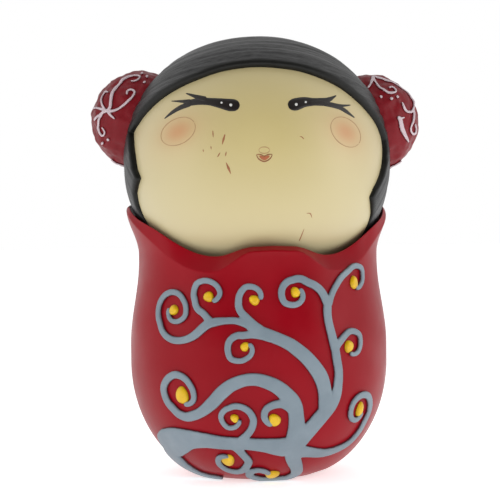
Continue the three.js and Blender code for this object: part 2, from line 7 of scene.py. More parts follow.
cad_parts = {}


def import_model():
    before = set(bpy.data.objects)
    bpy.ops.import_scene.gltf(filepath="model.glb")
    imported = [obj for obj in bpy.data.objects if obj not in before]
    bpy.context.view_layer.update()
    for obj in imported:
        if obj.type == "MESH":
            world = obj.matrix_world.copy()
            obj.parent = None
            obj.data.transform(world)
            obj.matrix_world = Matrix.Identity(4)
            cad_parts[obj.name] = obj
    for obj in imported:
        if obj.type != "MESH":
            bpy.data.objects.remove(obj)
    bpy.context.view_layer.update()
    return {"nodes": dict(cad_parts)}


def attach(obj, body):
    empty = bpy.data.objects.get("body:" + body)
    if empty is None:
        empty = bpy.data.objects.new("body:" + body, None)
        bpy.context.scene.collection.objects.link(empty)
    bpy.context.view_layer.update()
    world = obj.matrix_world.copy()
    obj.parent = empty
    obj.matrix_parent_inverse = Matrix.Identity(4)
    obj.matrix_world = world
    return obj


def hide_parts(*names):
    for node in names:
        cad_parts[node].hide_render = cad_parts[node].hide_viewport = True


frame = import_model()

# The doll is worked out in millimetres and stored in metres; the stage, the lights and the camera
# are in metres. The doll faces -Y.
# "Angle" is measured round the doll in degrees: 0 at the front, positive towards +X.
MM = 0.001
BODY = "body"
HEAD = "head"

# ---- dimensions shared with the CAD model ----
BASE_R = 14.0
BELLY_R, BELLY_LOW_Z, BELLY_HIGH_Z = 38.3, 34.0, 39.0
WAIST_R, WAIST_LOW_Z, WAIST_HIGH_Z = 35.6, 64.5, 66.0
FLARE_R, FLARE_Z = 39.2, 80.0
BELLY_FULLNESS = 0.55
SHELL_WALL = 3.2
FOOT_THICKENING = 0.06
FLOOR_T = 3.0
BASE_HOLE_R = 12.0
SHELF_Z, SHELF_T = 52.0, 4.0
SHELF_HOLE_R = 11.3
SHELF_COVE_Z, SHELF_COVE = 60.0, 2.5
COLLAR_WALL_LOW, COLLAR_WALL_HIGH = 3.6, 1.0
PETAL_TURN = 2.7
PETAL_EDGE = [(0, 67.9), (9, 67.7), (30, 61.8), (106, 80.2), (152, 63.5), (180, 68)]
RIM_RISE = [(0, 1.4), (9, 1.4), (30, 4.6), (60, 4.6), (86, 1.5), (106, 0.6), (152, 3.6), (180, 1.4)]

HEAD_TURN = -3.0
HEAD_Z = 93.9
HEAD_R, HEAD_H, HEAD_POWERS = 37.9, 35.1, (2.05, 2.5)
HEAD_WALL = 2.6
HEAD_BOTTOM_Z = 60.0
NECK_HOLE_R = 7.2
HAIR_R, HAIR_H, HAIR_POWERS = 39.7, 36.7, (2.08, 2.2)
HAIR_BOTTOM_Z = 66.0
BUN_R = 14.5
BUN_X, BUN_Y, BUN_Z = 34.7, 9.0, 105.4
BUN_UNEVEN = 0.8
BUN_SWELL = 0.25           # the modelled skin of a bun stands this far beyond its ball
BUN_BROAD_LUMP, BUN_FINE_LUMP = 0.6, 0.3
FACE_OFF_CENTRE = 0.45     # the face is painted this far towards the doll's left

# The vine: (angle, height, width) along each tendril. A curl at its end is (eye, start direction,
# turn, radii, end width): it sets off from the start direction (degrees, 0 towards +angle, 90 up)
# and turns anticlockwise (1) or clockwise (-1), with one radius for every sixth of a turn.
VINE = [
    ([(-70, 9.4, 6), (-65, 10.6, 9), (-58, 11.9, 10), (-50, 13.1, 9), (-42, 13.8, 6.6), (-33, 13.8, 5.2),
      (-24, 13.3, 4.6), (-12, 13.1, 4.0), (-2.5, 12.6, 4.8), (4, 12.1, 6.2), (12, 11.8, 8)], None),
    ([(-66, 10.4, 9), (-67, 7, 9), (-66.5, 4.2, 8), (-60, 2.1, 5), (-50, 1.5, 3.2), (-38, 1.4, 1.6)], None),
    ([(12.5, 12, 6.5), (12, 18, 4.9), (11.3, 21, 4.5), (10.4, 23.5, 4.6), (8.8, 25.5, 4.6), (6.4, 27.3, 4.4),
      (3.2, 29.2, 4.1), (-0.5, 30.6, 3.9), (-5.7, 31.7, 3.6), (-11, 31.6, 3.5), (-16.7, 30.2, 3.7),
      (-21, 28.1, 3.9), (-26.2, 24.8, 3.7), (-32, 22.1, 3)],
     ((-40.7, 26.7), -75, -1, (6.3, 5.6, 6.8, 6.2, 4.6, 4.1, 2.4), 1.4)),
    ([(10.6, 21.5, 3.2), (8.6, 23.2, 2.6)], ((1.6, 20.0), 65, 1, (5.4, 4.2, 2.3, 1.2), 1.4)),
    ([(-15.2, 13.6, 3), (-12.2, 15.2, 2.3), (-9.2, 17.3, 2.1)],
     ((-16.3, 20.6), -10, 1, (5.4, 4.3, 3.5, 3.9, 3.5, 2.1, 1.3), 1.2)),
    ([(12.5, 12, 6.5), (16.8, 15.2, 5.2), (20.6, 18.2, 5), (24.4, 21.2, 5), (27.6, 23.6, 4.6),
      (29.6, 26, 3.7), (30.4, 29, 3.1), (30.6, 33, 2.8), (29.7, 36.5, 2.8), (28.9, 39.5, 2.8),
      (27.6, 43, 2.8), (26.3, 47.2, 2.6), (26.1, 50, 2.6), (26.8, 52.6, 2.8)], None),
    ([(25.2, 21.5, 4.4), (24.5, 24.5, 4.2), (23.8, 28, 4.3), (21.4, 32.3, 4.5), (16, 37, 4.1),
      (9.6, 40.7, 3.8), (5, 42.5, 3.5), (-1, 44.2, 3.5), (-6, 45.6, 3.3), (-9.7, 47.2, 2.5),
      (-14.7, 48.2, 2), (-19.3, 48.2, 2), (-24.2, 47.8, 2.5), (-28, 46.9, 2.7), (-33.4, 44, 2.4),
      (-37.9, 42.7, 2.1)],
     ((-45.5, 50.9), -80, -1, (8.8, 6.3, 6.1, 5.2, 4.5, 4.7, 3.3, 2.1, 1.4), 1.3)),
    ([(2, 43.2, 3.2), (-3.7, 44.1, 2.5), (-8, 44.4, 2.2)],
     ((-11, 41), 100, 1, (3.2, 4.6, 5.2, 3.3, 2.2, 1.2), 1.2)),
    ([(-25.5, 47.6, 2.4), (-27.5, 48.8, 2.1)],
     ((-27.7, 54.9), -105, -1, (4.9, 4.3, 5.3, 4.2, 3.6, 1.8), 1.4)),
    ([(-3.5, 45.2, 3), (-6.9, 47, 2.3)], ((-6.9, 54), -118, -1, (5.3, 4.4, 4.4, 2.9, 1.5), 1.4)),
    ([(26.8, 51.6, 2.6), (24.8, 55.2, 2.5), (21.7, 57.4, 2.4)],
     ((11.6, 56), 40, 1, (4.5, 3.6, 4.0, 4.4, 3.3, 2.1, 1.2), 1.4)),
    ([(26.8, 51.6, 2.2), (29.3, 54.9, 1.9), (32.4, 57.5, 1.9), (36.3, 59.9, 1.9), (41.3, 61.7, 1.8)],
     ((44.3, 58), -257, -1, (4.4, 5.7, 2.9, 1.4), 1.3)),
    ([(28.6, 39.5, 2.4), (30.9, 41.2, 2.2), (33.9, 42.9, 2)],
     ((36.8, 40), -265, -1, (4.0, 5.3, 3.9, 1.8), 1.2)),
    ([(12, 12, 6), (15.5, 10.6, 4.8), (22, 9.9, 3.7), (31.6, 9.2, 3), (40.9, 9.8, 2.6), (48.8, 11.4, 2.4),
      (53.3, 14.2, 2.4)],
     ((47.1, 21.3), -35, 1, (6.2, 4.9, 4.5, 4.6, 4.1, 3.0, 1.4), 1.4)),
    ([(-20, 12.8, 3.2), (-17, 11.9, 2.8), (-14.3, 9.9, 2.4)],
     ((-23.7, 7.7), 0, -1, (6.0, 5.4, 4.2, 2.9, 2.1, 1.3), 1.4)),
    ([(12.4, 11, 6.2), (14.2, 7.8, 4.4), (18.6, 5, 3.7), (21.2, 3, 3.6), (18, 1.7, 3.2), (10, 1.4, 3),
      (0, 1.4, 3), (-8, 1.8, 2.8), (-12.6, 2.9, 2.5), (-10.5, 4.3, 2.3), (-5.5, 4.7, 2), (-1, 4.0, 1.8),
      (1.5, 3.2, 1.4)], None),
]
RELIEF_TOP = 1.0           # how far the vine stands off the body
RELIEF_ROOT = -0.35        # the vine starts inside the body's skin
RELIEF_VOXEL, RELIEF_STEP = 0.2, 0.4
FOOT_CLEARANCE = 0.1       # ornament near the foot stops this far above the table

# The berries: (angle, height, size, how much taller than wide).
BERRIES = [
    (-45.5, 50.9, 1, 1.1), (-27.7, 54.9, 1, 1.1), (-6.9, 54, 1, 1), (11.6, 56, 1, 1), (44.3, 58, 1.05, 1.2),
    (-11, 41, 0.9, 1), (36.8, 40, 1.05, 1.2), (-40.7, 26.7, 1.4, 1.35), (-16.3, 20.6, 0.8, 1.1),
    (1.6, 20, 1.25, 1), (47.1, 21.3, 1, 1.45), (-23.7, 7.7, 1.4, 1.1), (3.5, 2.9, 1.4, 1),
]
BERRY_R, BERRY_H, BERRY_ROOT = 1.5, 1.0, -0.3
BERRY_CROWN = 0.2          # the middle of a berry rises this far above its height


# ---- shape functions ----
def ease(z, low, high):
    """A smooth step from 0 to 1 between two heights."""
    return (1 - np.cos(np.pi * np.clip((z - low) / (high - low), 0, 1))) / 2


def body_radius(z):
    z = np.asarray(z, float)
    low = np.clip(z / BELLY_LOW_Z, 0, 1)
    bowl = BASE_R + (BELLY_R - BASE_R) * (1 - (1 - low) ** 2) ** BELLY_FULLNESS
    pinch = (BELLY_R - WAIST_R) * ease(z, BELLY_HIGH_Z, WAIST_LOW_Z)
    flare = (FLARE_R - WAIST_R) * ease(z, WAIST_HIGH_Z, FLARE_Z)
    return bowl - pinch + flare


def body_normal(z):
    """Outward direction of the body wall at a height, as (radial, upward)."""
    step = 0.2
    low = np.maximum(0, np.asarray(z, float) - step)
    rise = body_radius(z + step) - body_radius(low)
    run = z + step - low
    length = np.hypot(rise, run)
    return run / length, -rise / length


def collar_inner_radius(z):
    t = np.clip((z - WAIST_HIGH_Z) / (FLARE_Z - WAIST_HIGH_Z), 0, 1)
    return body_radius(z) - COLLAR_WALL_LOW + (COLLAR_WALL_LOW - COLLAR_WALL_HIGH) * t


def cavity_radius(z):
    return body_radius(z) - SHELL_WALL - np.maximum(0, BELLY_LOW_Z - z) * FOOT_THICKENING


def head_radius(up, powers):
    """Radius of the head, as a share of its widest, at a share of its half height."""
    up = np.asarray(up, float)
    power = np.where(up > 0, powers[0], powers[1])
    return np.maximum(0, 1 - np.abs(up) ** power) ** (1 / power)


def bun_centre(side):
    return Vector((side * BUN_X, BUN_Y, BUN_Z - side * BUN_UNEVEN))


def bun_lumps(side, d):
    """How far the modelled skin of a bun stands off its ball, for a unit direction (x outwards)."""
    broad = noise.noise(d * 3.4 + Vector((side * 5, 2, 1)))
    return BUN_SWELL + BUN_BROAD_LUMP * broad + BUN_FINE_LUMP * noise.noise(d * 8)


def along_stops(stops, angle):
    """A smooth value through (angle from the front petal, value) stops, level at each stop."""
    side = abs(angle - PETAL_TURN)
    side = min(side, 360 - side)
    for (a0, v0), (a1, v1) in zip(stops, stops[1:]):
        if side <= a1:
            return v0 + (v1 - v0) * (1 - math.cos(math.pi * (side - a0) / (a1 - a0))) / 2
    return stops[-1][1]


def spline(points, t):
    """Catmull-Rom curve through 2D points, at t from 0 to 1."""
    last = len(points) - 1
    place = min(t, 1 - 1e-9) * last
    i = int(place)
    u = place - i
    p0, p1 = points[max(i - 1, 0)], points[i]
    p2, p3 = points[i + 1], points[min(i + 2, last)]
    m1, m2 = (p2 - p0) / 2, (p3 - p1) / 2
    return ((2 * u**3 - 3 * u**2 + 1) * p1 + (u**3 - 2 * u**2 + u) * m1
            + (-2 * u**3 + 3 * u**2) * p2 + (u**3 - u**2) * m2)


def evenly_spaced(points, step):
    """The curve through 2D points in equal steps, and the place of each among the points given."""
    shares = np.linspace(0, 1, 40 * len(points))
    dense = np.array([spline(points, t) for t in shares])
    run = np.concatenate([[0], np.cumsum(np.linalg.norm(np.diff(dense, axis=0), axis=1))])
    places = np.linspace(0, run[-1], max(4, int(round(run[-1] / step))) + 1)
    curve = np.column_stack([np.interp(places, run, dense[:, 0]), np.interp(places, run, dense[:, 1])])
    return curve, np.interp(places, run, shares) * (len(points) - 1)


# ---- mesh building ----
def placed(name, data):
    """A new object in the scene."""
    made = bpy.data.objects.new(name, data)
    bpy.context.scene.collection.objects.link(made)
    return made


def new_object(name, verts, faces, material, body):
    """A smooth mesh object from millimetre points, riding on a CAD body."""
    mesh = bpy.data.meshes.new(name)
    mesh.from_pydata((np.asarray(verts) * MM).tolist(), [], faces)
    mesh.validate()
    mesh.polygons.foreach_set("use_smooth", [True] * len(mesh.polygons))
    mesh.materials.append(material)
    piece = placed(name, mesh)
    if body == HEAD:
        # Head pieces are drawn facing straight forward, and then turned as the head is.
        mesh.transform(Matrix.Rotation(math.radians(HEAD_TURN), 4, "Z"))
    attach(piece, body)
    return piece


def loop_faces(rows, cols, close_rows=True):
    """Quads of a grid of rows x cols points; every row closes on itself, and the rows may too."""
    faces = []
    for i in range(rows if close_rows else rows - 1):
        here, above = i * cols, ((i + 1) % rows) * cols
        for j in range(cols):
            after = (j + 1) % cols
            faces.append((here + j, here + after, above + after, above + j))
    return faces


def add_attribute(piece, name, values):
    attribute = piece.data.attributes.new(name, "FLOAT", "POINT")
    attribute.data.foreach_set("value", np.asarray(values, dtype=np.float32))


def points_of(piece):
    flat = np.empty(len(piece.data.vertices) * 3)
    piece.data.vertices.foreach_get("co", flat)
    return flat.reshape(-1, 3) / MM


def rounded(before, corner, after, steps=5):
    """Points round a corner, from a point before it to a point after it."""
    before, corner, after = (np.array(p, float) for p in (before, corner, after))
    return [tuple((1 - t) ** 2 * before + 2 * t * (1 - t) * corner + t**2 * after)
            for t in np.linspace(0, 1, steps)]


# A section across a raised strip: (across, up) with both running from 0 to 1, or -1 to 1 across.
RELIEF_SECTION = [(-1.0, 0.0), (-1.0, 0.6), (-0.94, 0.88), (-0.8, 0.98), (-0.4, 1.0), (0.0, 1.0),
                  (0.4, 1.0), (0.8, 0.98), (0.94, 0.88), (1.0, 0.6), (1.0, 0.0), (0.5, 0.0), (-0.5, 0.0)]
PAINT_SECTION = [(-1.0, 0.0), (-0.96, 1.0), (-0.5, 1.0), (0.0, 1.0), (0.5, 1.0), (0.96, 1.0), (1.0, 0.0)]


def strip(centre, widths, scale, wrap, low, high, section):
    """A closed raised strip along flat points, with rounded ends, wrapped onto a surface."""
    count = len(centre)
    tangent = np.gradient(centre, axis=0)
    run = np.concatenate([[0], np.cumsum(np.linalg.norm(np.diff(centre, axis=0), axis=1))])
    verts = []
    for i, (point, along, width) in enumerate(zip(centre, tangent, widths)):
        sx, sy = scale(point[1])
        direction = np.array([along[0] / sx, along[1] / sy])
        direction /= np.linalg.norm(direction)
        half = width / 2
        nearest_end = min(run[i], run[-1] - run[i])
        if nearest_end < half:
            half *= math.sqrt(max(0.02, 1 - (1 - nearest_end / half) ** 2))
        side = np.array([-direction[1] * sx, direction[0] * sy])
        for across, up in section:
            flat = point + side * across * half
            verts.append(wrap(flat[0], flat[1], low + (high - low) * up))
    cols = len(section)
    faces = loop_faces(count, cols, close_rows=False)
    faces.append(tuple(range(cols - 1, -1, -1)))
    faces.append(tuple((count - 1) * cols + j for j in range(cols)))
    return verts, faces


def joined(parts):
    """Several (verts, faces) as one."""
    verts, faces = [], []
    for part_verts, part_faces in parts:
        base = len(verts)
        verts.extend(part_verts)
        faces.extend(tuple(base + i for i in face) for face in part_faces)
    return verts, faces


def curl_points(eye, start, turn, radii, flat, scale):
    """A curl as flat points, three for every radius given."""
    centre = flat(eye)
    sx, sy = scale(centre[1])
    sixths = len(radii) - 1
    points = []
    for place in np.linspace(0, sixths, 3 * sixths + 1):
        angle = math.radians(start + turn * 60 * place)
        radius = np.interp(place, range(len(radii)), radii)
        points.append(centre + radius * np.array([math.cos(angle) * sx, math.sin(angle) * sy]))
    return points


def tendril(path, curl, flat, scale, wrap, low, high, step):
    guide = [flat(place[:2]) for place in path]
    widths = [place[2] for place in path]
    if curl:
        eye, start, turn, radii, end_width = curl
        around = curl_points(eye, start, turn, radii, flat, scale)
        guide += around
        widths += list(np.linspace(widths[-1], end_width, len(around) + 1)[1:])
    centre, places = evenly_spaced(guide, step)
    wide = np.interp(places, range(len(widths)), widths)
    return strip(centre, wide, scale, wrap, low, high, RELIEF_SECTION)


def fused(piece, voxel, passes):
    """Makes overlapping closed strips into one skin, then eases its corners."""
    bpy.context.view_layer.objects.active = piece
    remesh = piece.modifiers.new("fuse", "REMESH")
    remesh.mode = "VOXEL"
    remesh.voxel_size = voxel * MM
    remesh.adaptivity = 0
    remesh.use_smooth_shade = True
    smooth = piece.modifiers.new("ease", "SMOOTH")
    smooth.factor = 0.5
    smooth.iterations = passes
    for modifier in ("fuse", "ease"):
        with bpy.context.temp_override(object=piece, active_object=piece):
            bpy.ops.object.modifier_apply(modifier=modifier)


# ---- materials ----
def node_material(name, roughness, coat=0.0, coat_roughness=0.2, specular=0.5):
    """A new Principled material with the plain numbers set, and the means to wire the rest."""
    material = bpy.data.materials.new(name)
    material.use_nodes = True
    shader = material.node_tree.nodes["Principled BSDF"]
    shader.inputs["Roughness"].default_value = roughness
    shader.inputs["Specular IOR Level"].default_value = specular
    shader.inputs["Coat Weight"].default_value = coat
    shader.inputs["Coat Roughness"].default_value = coat_roughness
    return material, Wires(material)


class Wires:
    """Short names for building a node tree."""

    def __init__(self, owner):
        self.tree = owner.node_tree
        self.shader = self.tree.nodes.get("Principled BSDF")

    def node(self, kind, **settings):
        made = self.tree.nodes.new(kind)
        for key, value in settings.items():
            setattr(made, key, value)
        return made

    def link(self, source, target):
        self.tree.links.new(source, target)

    def place(self):
        return self.node("ShaderNodeTexCoord").outputs["Object"]

    def noise(self, scale, detail=3.0, roughness=0.55, vector=None):
        made = self.node("ShaderNodeTexNoise")
        made.inputs["Scale"].default_value = scale
        made.inputs["Detail"].default_value = detail
        made.inputs["Roughness"].default_value = roughness
        self.link(vector or self.place(), made.inputs["Vector"])
        return made.outputs["Fac"]

    def attribute(self, name):
        return self.node("ShaderNodeAttribute", attribute_name=name).outputs["Fac"]

    def ramp(self, fac, stops):
        made = self.node("ShaderNodeValToRGB")
        elements = made.color_ramp.elements
        for i, (position, colour) in enumerate(stops):
            element = elements[i] if i < 2 else elements.new(position)
            element.position = position
            element.color = (*colour, 1) if len(colour) == 3 else (colour[0],) * 3 + (1,)
        self.link(fac, made.inputs["Fac"])
        return made.outputs["Color"]

    def feed(self, value, socket):
        """Sets a socket to a number or a colour, or links another socket to it."""
        if isinstance(value, (float, int)):
            socket.default_value = value
        elif isinstance(value, tuple):
            socket.default_value = (*value, 1)
        else:
            self.link(value, socket)

    def mix(self, fac, first, second):
        made = self.node("ShaderNodeMix", data_type="RGBA")
        for value, socket in ((fac, 0), (first, 6), (second, 7)):
            self.feed(value, made.inputs[socket])
        return made.outputs[2]

    def math(self, operation, first, second=0.0):
        made = self.node("ShaderNodeMath", operation=operation)
        for i, value in enumerate((first, second)):
            self.feed(value, made.inputs[i])
        return made.outputs[0]

    def paint(self, colour):
        self.link(colour, self.shader.inputs["Base Color"])

    def bump(self, height, strength, distance_mm):
        made = self.node("ShaderNodeBump")
        made.inputs["Strength"].default_value = strength
        made.inputs["Distance"].default_value = distance_mm * MM
        self.link(height, made.inputs["Height"])
        self.link(made.outputs["Normal"], self.shader.inputs["Normal"])


def enamel_material(name, deep, light, roughness):
    """Brushed satin enamel: slow changes of tone, a faint orange-peel skin and uneven gloss."""
    material, w = node_material(name, roughness, specular=0.16)
    tone = w.ramp(w.noise(28, 4), [(0.3, deep), (0.72, light)])
    w.paint(tone)
    gloss = w.ramp(w.noise(90, 2), [(0.3, (roughness - 0.05,)), (0.7, (roughness + 0.07,))])
    w.link(gloss, w.shader.inputs["Roughness"])
    w.bump(w.noise(420, 3), 0.25, 0.05)
    return material


def relief_material(name, side, top_deep, top_light, top_height):
    """Relief with painted tops: the paint stops unevenly where the side walls begin. The side walls get
    painted shade, far darker than the enamel under them.
    """
    material, w = node_material(name, 0.48)
    wander = w.math("MULTIPLY", w.math("SUBTRACT", w.noise(900, 3), 0.5), 0.5 * top_height)
    painted = w.math("ADD", w.attribute("height"), wander)
    tone = w.ramp(w.noise(120, 4), [(0.3, top_deep), (0.7, top_light)])
    edge = w.ramp(painted, [(0.4 * top_height, (0.0,)), (0.62 * top_height, (1.0,))])
    # The side colour is painted shade on the relief's walls; the walls themselves are the enamel's own red.
    w.paint(w.mix(edge, side, tone))
    w.bump(w.noise(700, 3), 0.3, 0.06)
    return material


RED_DEEP, RED_LIGHT = (0.235, 0.0, 0.005), (0.285, 0.001, 0.008)
red_enamel = enamel_material("red_enamel", RED_DEEP, RED_LIGHT, 0.36)
bun_enamel = enamel_material("bun_enamel", (0.15, 0.006, 0.01), (0.2, 0.01, 0.016), 0.42)
# The vine: the first colour is painted shade on the side walls, darker than the red enamel beneath; the other
# two are the blue paint on top.
vine_paint = relief_material("vine_paint", (0.07, 0.008, 0.014), (0.16, 0.208, 0.245), (0.205, 0.258, 0.3),
                             RELIEF_TOP)
SPRIG_TOP = 0.6
# The sprigs: the first colour is painted shade on the side walls, darker than the bun's enamel; the other two
# are the pale paint on top.
sprig_paint = relief_material("sprig_paint", (0.09, 0.008, 0.012), (0.46, 0.36, 0.39), (0.6, 0.5, 0.53),
                              SPRIG_TOP)


def berry_material():
    material, w = node_material("berry_paint", 0.45, coat=0.08)
    tone = w.ramp(w.noise(500, 3), [(0.3, (0.6, 0.35, 0.001)), (0.7, (0.74, 0.47, 0.003))])
    # Painted shade: the foot of each berry, where it meets the body, is coloured dark brown.
    rim = w.ramp(w.attribute("height"), [(0.05, (0.0,)), (0.3, (1.0,))])
    w.paint(w.mix(rim, (0.12, 0.04, 0.01), tone))
    w.bump(w.noise(900, 2), 0.3, 0.05)
    return material


def face_material():
    """Cream paint, a little warmer in the middle, with blown-on blush on the cheeks, and painted shade where
    the face drops into the collar.
    """
    material, w = node_material("face_paint", 0.42, coat=0.1, coat_roughness=0.35)
    cream = w.ramp(w.noise(14, 3), [(0.3, (0.51, 0.42, 0.185)), (0.7, (0.55, 0.45, 0.215))])
    pale = (0.55, 0.475, 0.275)
    tinted = w.mix(w.attribute("warmth"), pale, cream)
    blushed = w.mix(w.attribute("blush"), tinted, (0.5, 0.22, 0.08))
    # Painted shade: the face turns brown-red where it drops into the collar, standing in for the collar's
    # shadow and red bounce.
    with_painted_shade = w.mix(w.attribute("shade"), blushed, (0.16, 0.035, 0.012))
    w.paint(with_painted_shade)
    w.bump(w.noise(600, 3), 0.2, 0.04)
    return material


def hair_material():
    """Charcoal paint over combed strands; the front edge is painted nearly black."""
    material, w = node_material("hair_paint", 0.45, specular=0.25)
    axes = w.node("ShaderNodeSeparateXYZ")
    w.link(w.place(), axes.inputs[0])
    fan = w.math("ARCTAN2", w.math("SUBTRACT", axes.outputs["Z"], BUN_Z * MM),
                 w.math("SUBTRACT", axes.outputs["Y"], BUN_Y * MM))
    strands = w.node("ShaderNodeCombineXYZ")
    w.link(fan, strands.inputs[0])
    w.link(w.math("MULTIPLY", axes.outputs["X"], 9.0), strands.inputs[1])
    fine = w.noise(34, 5, 0.6, strands.outputs[0])
    tone = w.ramp(fine, [(0.3, (0.01, 0.01, 0.01)), (0.7, (0.045, 0.045, 0.045))])
    w.paint(w.mix(w.attribute("lip"), tone, (0.008, 0.008, 0.007)))
    w.bump(fine, 0.8, 0.2)
    return material


def paint_material(name, colour, roughness):
    """Thin paint with slightly uneven cover."""
    material, w = node_material(name, roughness)
    darker = tuple(c * 0.8 for c in colour)
    w.paint(w.ramp(w.noise(800, 2), [(0.3, darker), (0.7, colour)]))
    return material


def wood_material():
    material, w = node_material("peg_wood", 0.55)
    mapping = w.node("ShaderNodeMapping")
    mapping.inputs["Scale"].default_value = (1, 1, 0.06)
    w.link(w.place(), mapping.inputs["Vector"])
    grain = w.noise(900, 4, 0.6, mapping.outputs[0])
    w.paint(w.ramp(grain, [(0.3, (0.36, 0.2, 0.08)), (0.7, (0.58, 0.38, 0.19))]))
    w.bump(grain, 0.3, 0.08)
    return material


def rubber_material():
    material, w = node_material("plug_rubber", 0.7)
    w.paint(w.ramp(w.noise(300, 3), [(0.3, (0.022, 0.021, 0.02)), (0.7, (0.04, 0.038, 0.036))]))
    w.bump(w.noise(1200, 2), 0.3, 0.05)
    return material


# ---- body ----
FOOT_ROUND = 0.3           # the corner of the foot is round up to this height
RIM_ROUND = 0.4            # how far the petal edge's corners are rounded
WALL_ROWS, CAVITY_ROWS, COLLAR_ROWS = 90, 14, 16


def shell_column(angle):
    """The closed (radius, height) outline of the body shell at one angle."""
    edge = along_stops(PETAL_EDGE, angle)
    rise = along_stops(RIM_RISE, angle)
    outer_r = float(body_radius(edge))
    inner_z = edge + rise
    inner_r = float(collar_inner_radius(inner_z))
    outline = [(BASE_HOLE_R, 0.0)]
    foot_r = float(body_radius(FOOT_ROUND))
    outline += rounded((BASE_R - 1, 0), (BASE_R, 0), (foot_r, FOOT_ROUND), 4)
    for t in np.linspace(0.1, 1, WALL_ROWS):
        z = (edge - 0.45) * t ** (1.6 - 0.6 * t)
        if z > FOOT_ROUND:
            outline.append((float(body_radius(z)), z))
        else:
            outline.append((foot_r, FOOT_ROUND + 0.01 * t))
    corner_in = np.array([inner_r - outer_r, rise])
    corner_in /= np.linalg.norm(corner_in)
    outer = np.array([outer_r, edge])
    inner = np.array([inner_r, inner_z])
    below_outer = (float(body_radius(edge - RIM_ROUND)), edge - RIM_ROUND)
    outline += rounded(below_outer, outer, outer + RIM_ROUND * corner_in, 6)
    for t in (0.25, 0.5, 0.75):
        outline.append(tuple(outer + (inner - outer) * t))
    below_inner = (float(collar_inner_radius(inner_z - 0.5)), inner_z - 0.5)
    outline += rounded(inner - RIM_ROUND * corner_in, inner, below_inner, 6)
    for z in np.linspace(inner_z - 0.8, SHELF_COVE_Z, COLLAR_ROWS):
        outline.append((float(collar_inner_radius(z)), z))
    shelf_top = SHELF_Z + SHELF_T
    wall = float(collar_inner_radius(SHELF_COVE_Z))
    outline += [(wall - 0.2 * SHELF_COVE, shelf_top + 1.4), (wall - SHELF_COVE, shelf_top),
                (SHELF_HOLE_R, shelf_top), (SHELF_HOLE_R, SHELF_Z)]
    for z in np.linspace(SHELF_Z, FLOOR_T, CAVITY_ROWS):
        outline.append((float(cavity_radius(z)), z))
    outline.append((BASE_HOLE_R, FLOOR_T))
    return outline


def body_shell():
    columns = 300
    verts = []
    for j in range(columns):
        angle = 360 * j / columns - 180
        a = math.radians(angle)
        for r, z in shell_column(angle):
            verts.append((r * math.sin(a), -r * math.cos(a), z))
    rows = len(verts) // columns
    shell = new_object("body_shell_painted", verts, loop_faces(columns, rows), red_enamel, BODY)
    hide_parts("body_shell")


def body_flat(place):
    return np.array([math.radians(place[0]) * BELLY_R, place[1]], float)


def body_scale(z):
    radial, _ = body_normal(max(z, 0.0))
    return BELLY_R / float(body_radius(z)), max(0.35, float(radial))


def on_body(x, z, depth):
    angle = x / BELLY_R
    radial, up = body_normal(max(z, 0.0))
    r = float(body_radius(z)) + depth * float(radial)
    return r * math.sin(angle), -r * math.cos(angle), max(FOOT_CLEARANCE, z + depth * float(up))


def depth_over_body(points):
    """How far points stand off the body's wall."""
    z = points[:, 2].copy()
    r = np.hypot(points[:, 0], points[:, 1])
    for _ in range(3):
        radial, up = body_normal(np.maximum(z, 0.0))
        depth = (r - body_radius(z)) * radial + (points[:, 2] - z) * up
        z = points[:, 2] - depth * up
    return depth


def vine():
    parts = [tendril(path, curl, body_flat, body_scale, on_body, RELIEF_ROOT, RELIEF_TOP, RELIEF_STEP)
             for path, curl in VINE]
    verts, faces = joined(parts)
    piece = new_object("vine", verts, faces, vine_paint, BODY)
    fused(piece, RELIEF_VOXEL, 2)
    add_attribute(piece, "height", depth_over_body(points_of(piece)))
    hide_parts("vine_relief")


def berries():
    paint = berry_material()
    rings, around = 10, 28
    for number, (angle, z, size, tall) in enumerate(BERRIES, 1):
        eye = body_flat((angle, z))
        sx, sy = body_scale(z)
        verts = []
        for i in range(rings):
            lean = math.pi / 2 * i / rings
            for j in range(around):
                turn = 2 * math.pi * j / around
                blob = 1 + 0.07 * math.sin(2 * turn + number) + 0.05 * math.sin(3 * turn + 2 * number)
                r = BERRY_R * size * blob * math.cos(lean) ** 0.6
                up = BERRY_ROOT + (BERRY_H - BERRY_ROOT + BERRY_CROWN) * math.sin(lean) ** 0.9
                x, y = eye[0] + r * math.cos(turn) * sx, eye[1] + r * tall * math.sin(turn) * sy
                verts.append(on_body(x, y, up))
        verts.append(on_body(eye[0], eye[1], BERRY_H + BERRY_CROWN))
        top = len(verts) - 1
        faces = loop_faces(rings, around, close_rows=False)
        faces += [((rings - 1) * around + j, (rings - 1) * around + (j + 1) % around, top)
                  for j in range(around)]
        faces.append(tuple(range(around - 1, -1, -1)))
        piece = new_object(f"berry_bead_{number:02d}", verts, faces, paint, BODY)
        add_attribute(piece, "height", depth_over_body(points_of(piece)))
        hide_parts(f"berry_{number:02d}")


# ---- head ----
# The cheeks: (x, z, long half, short half, tilt in degrees).
BLUSH = [(-23.9, 101.9, 5.2, 3.6, 28), (24.1, 101.3, 5.1, 3.7, -40)]


def in_blush(x, z, spot):
    """0 at the middle of a cheek spot, 1 at its edge."""
    cx, cz, long_half, short_half, tilt = spot
    a = math.radians(tilt)
    along = (x - cx) * np.cos(a) + (z - cz) * np.sin(a)
    across = -(x - cx) * np.sin(a) + (z - cz) * np.cos(a)
    return np.hypot(along / long_half, across / short_half)


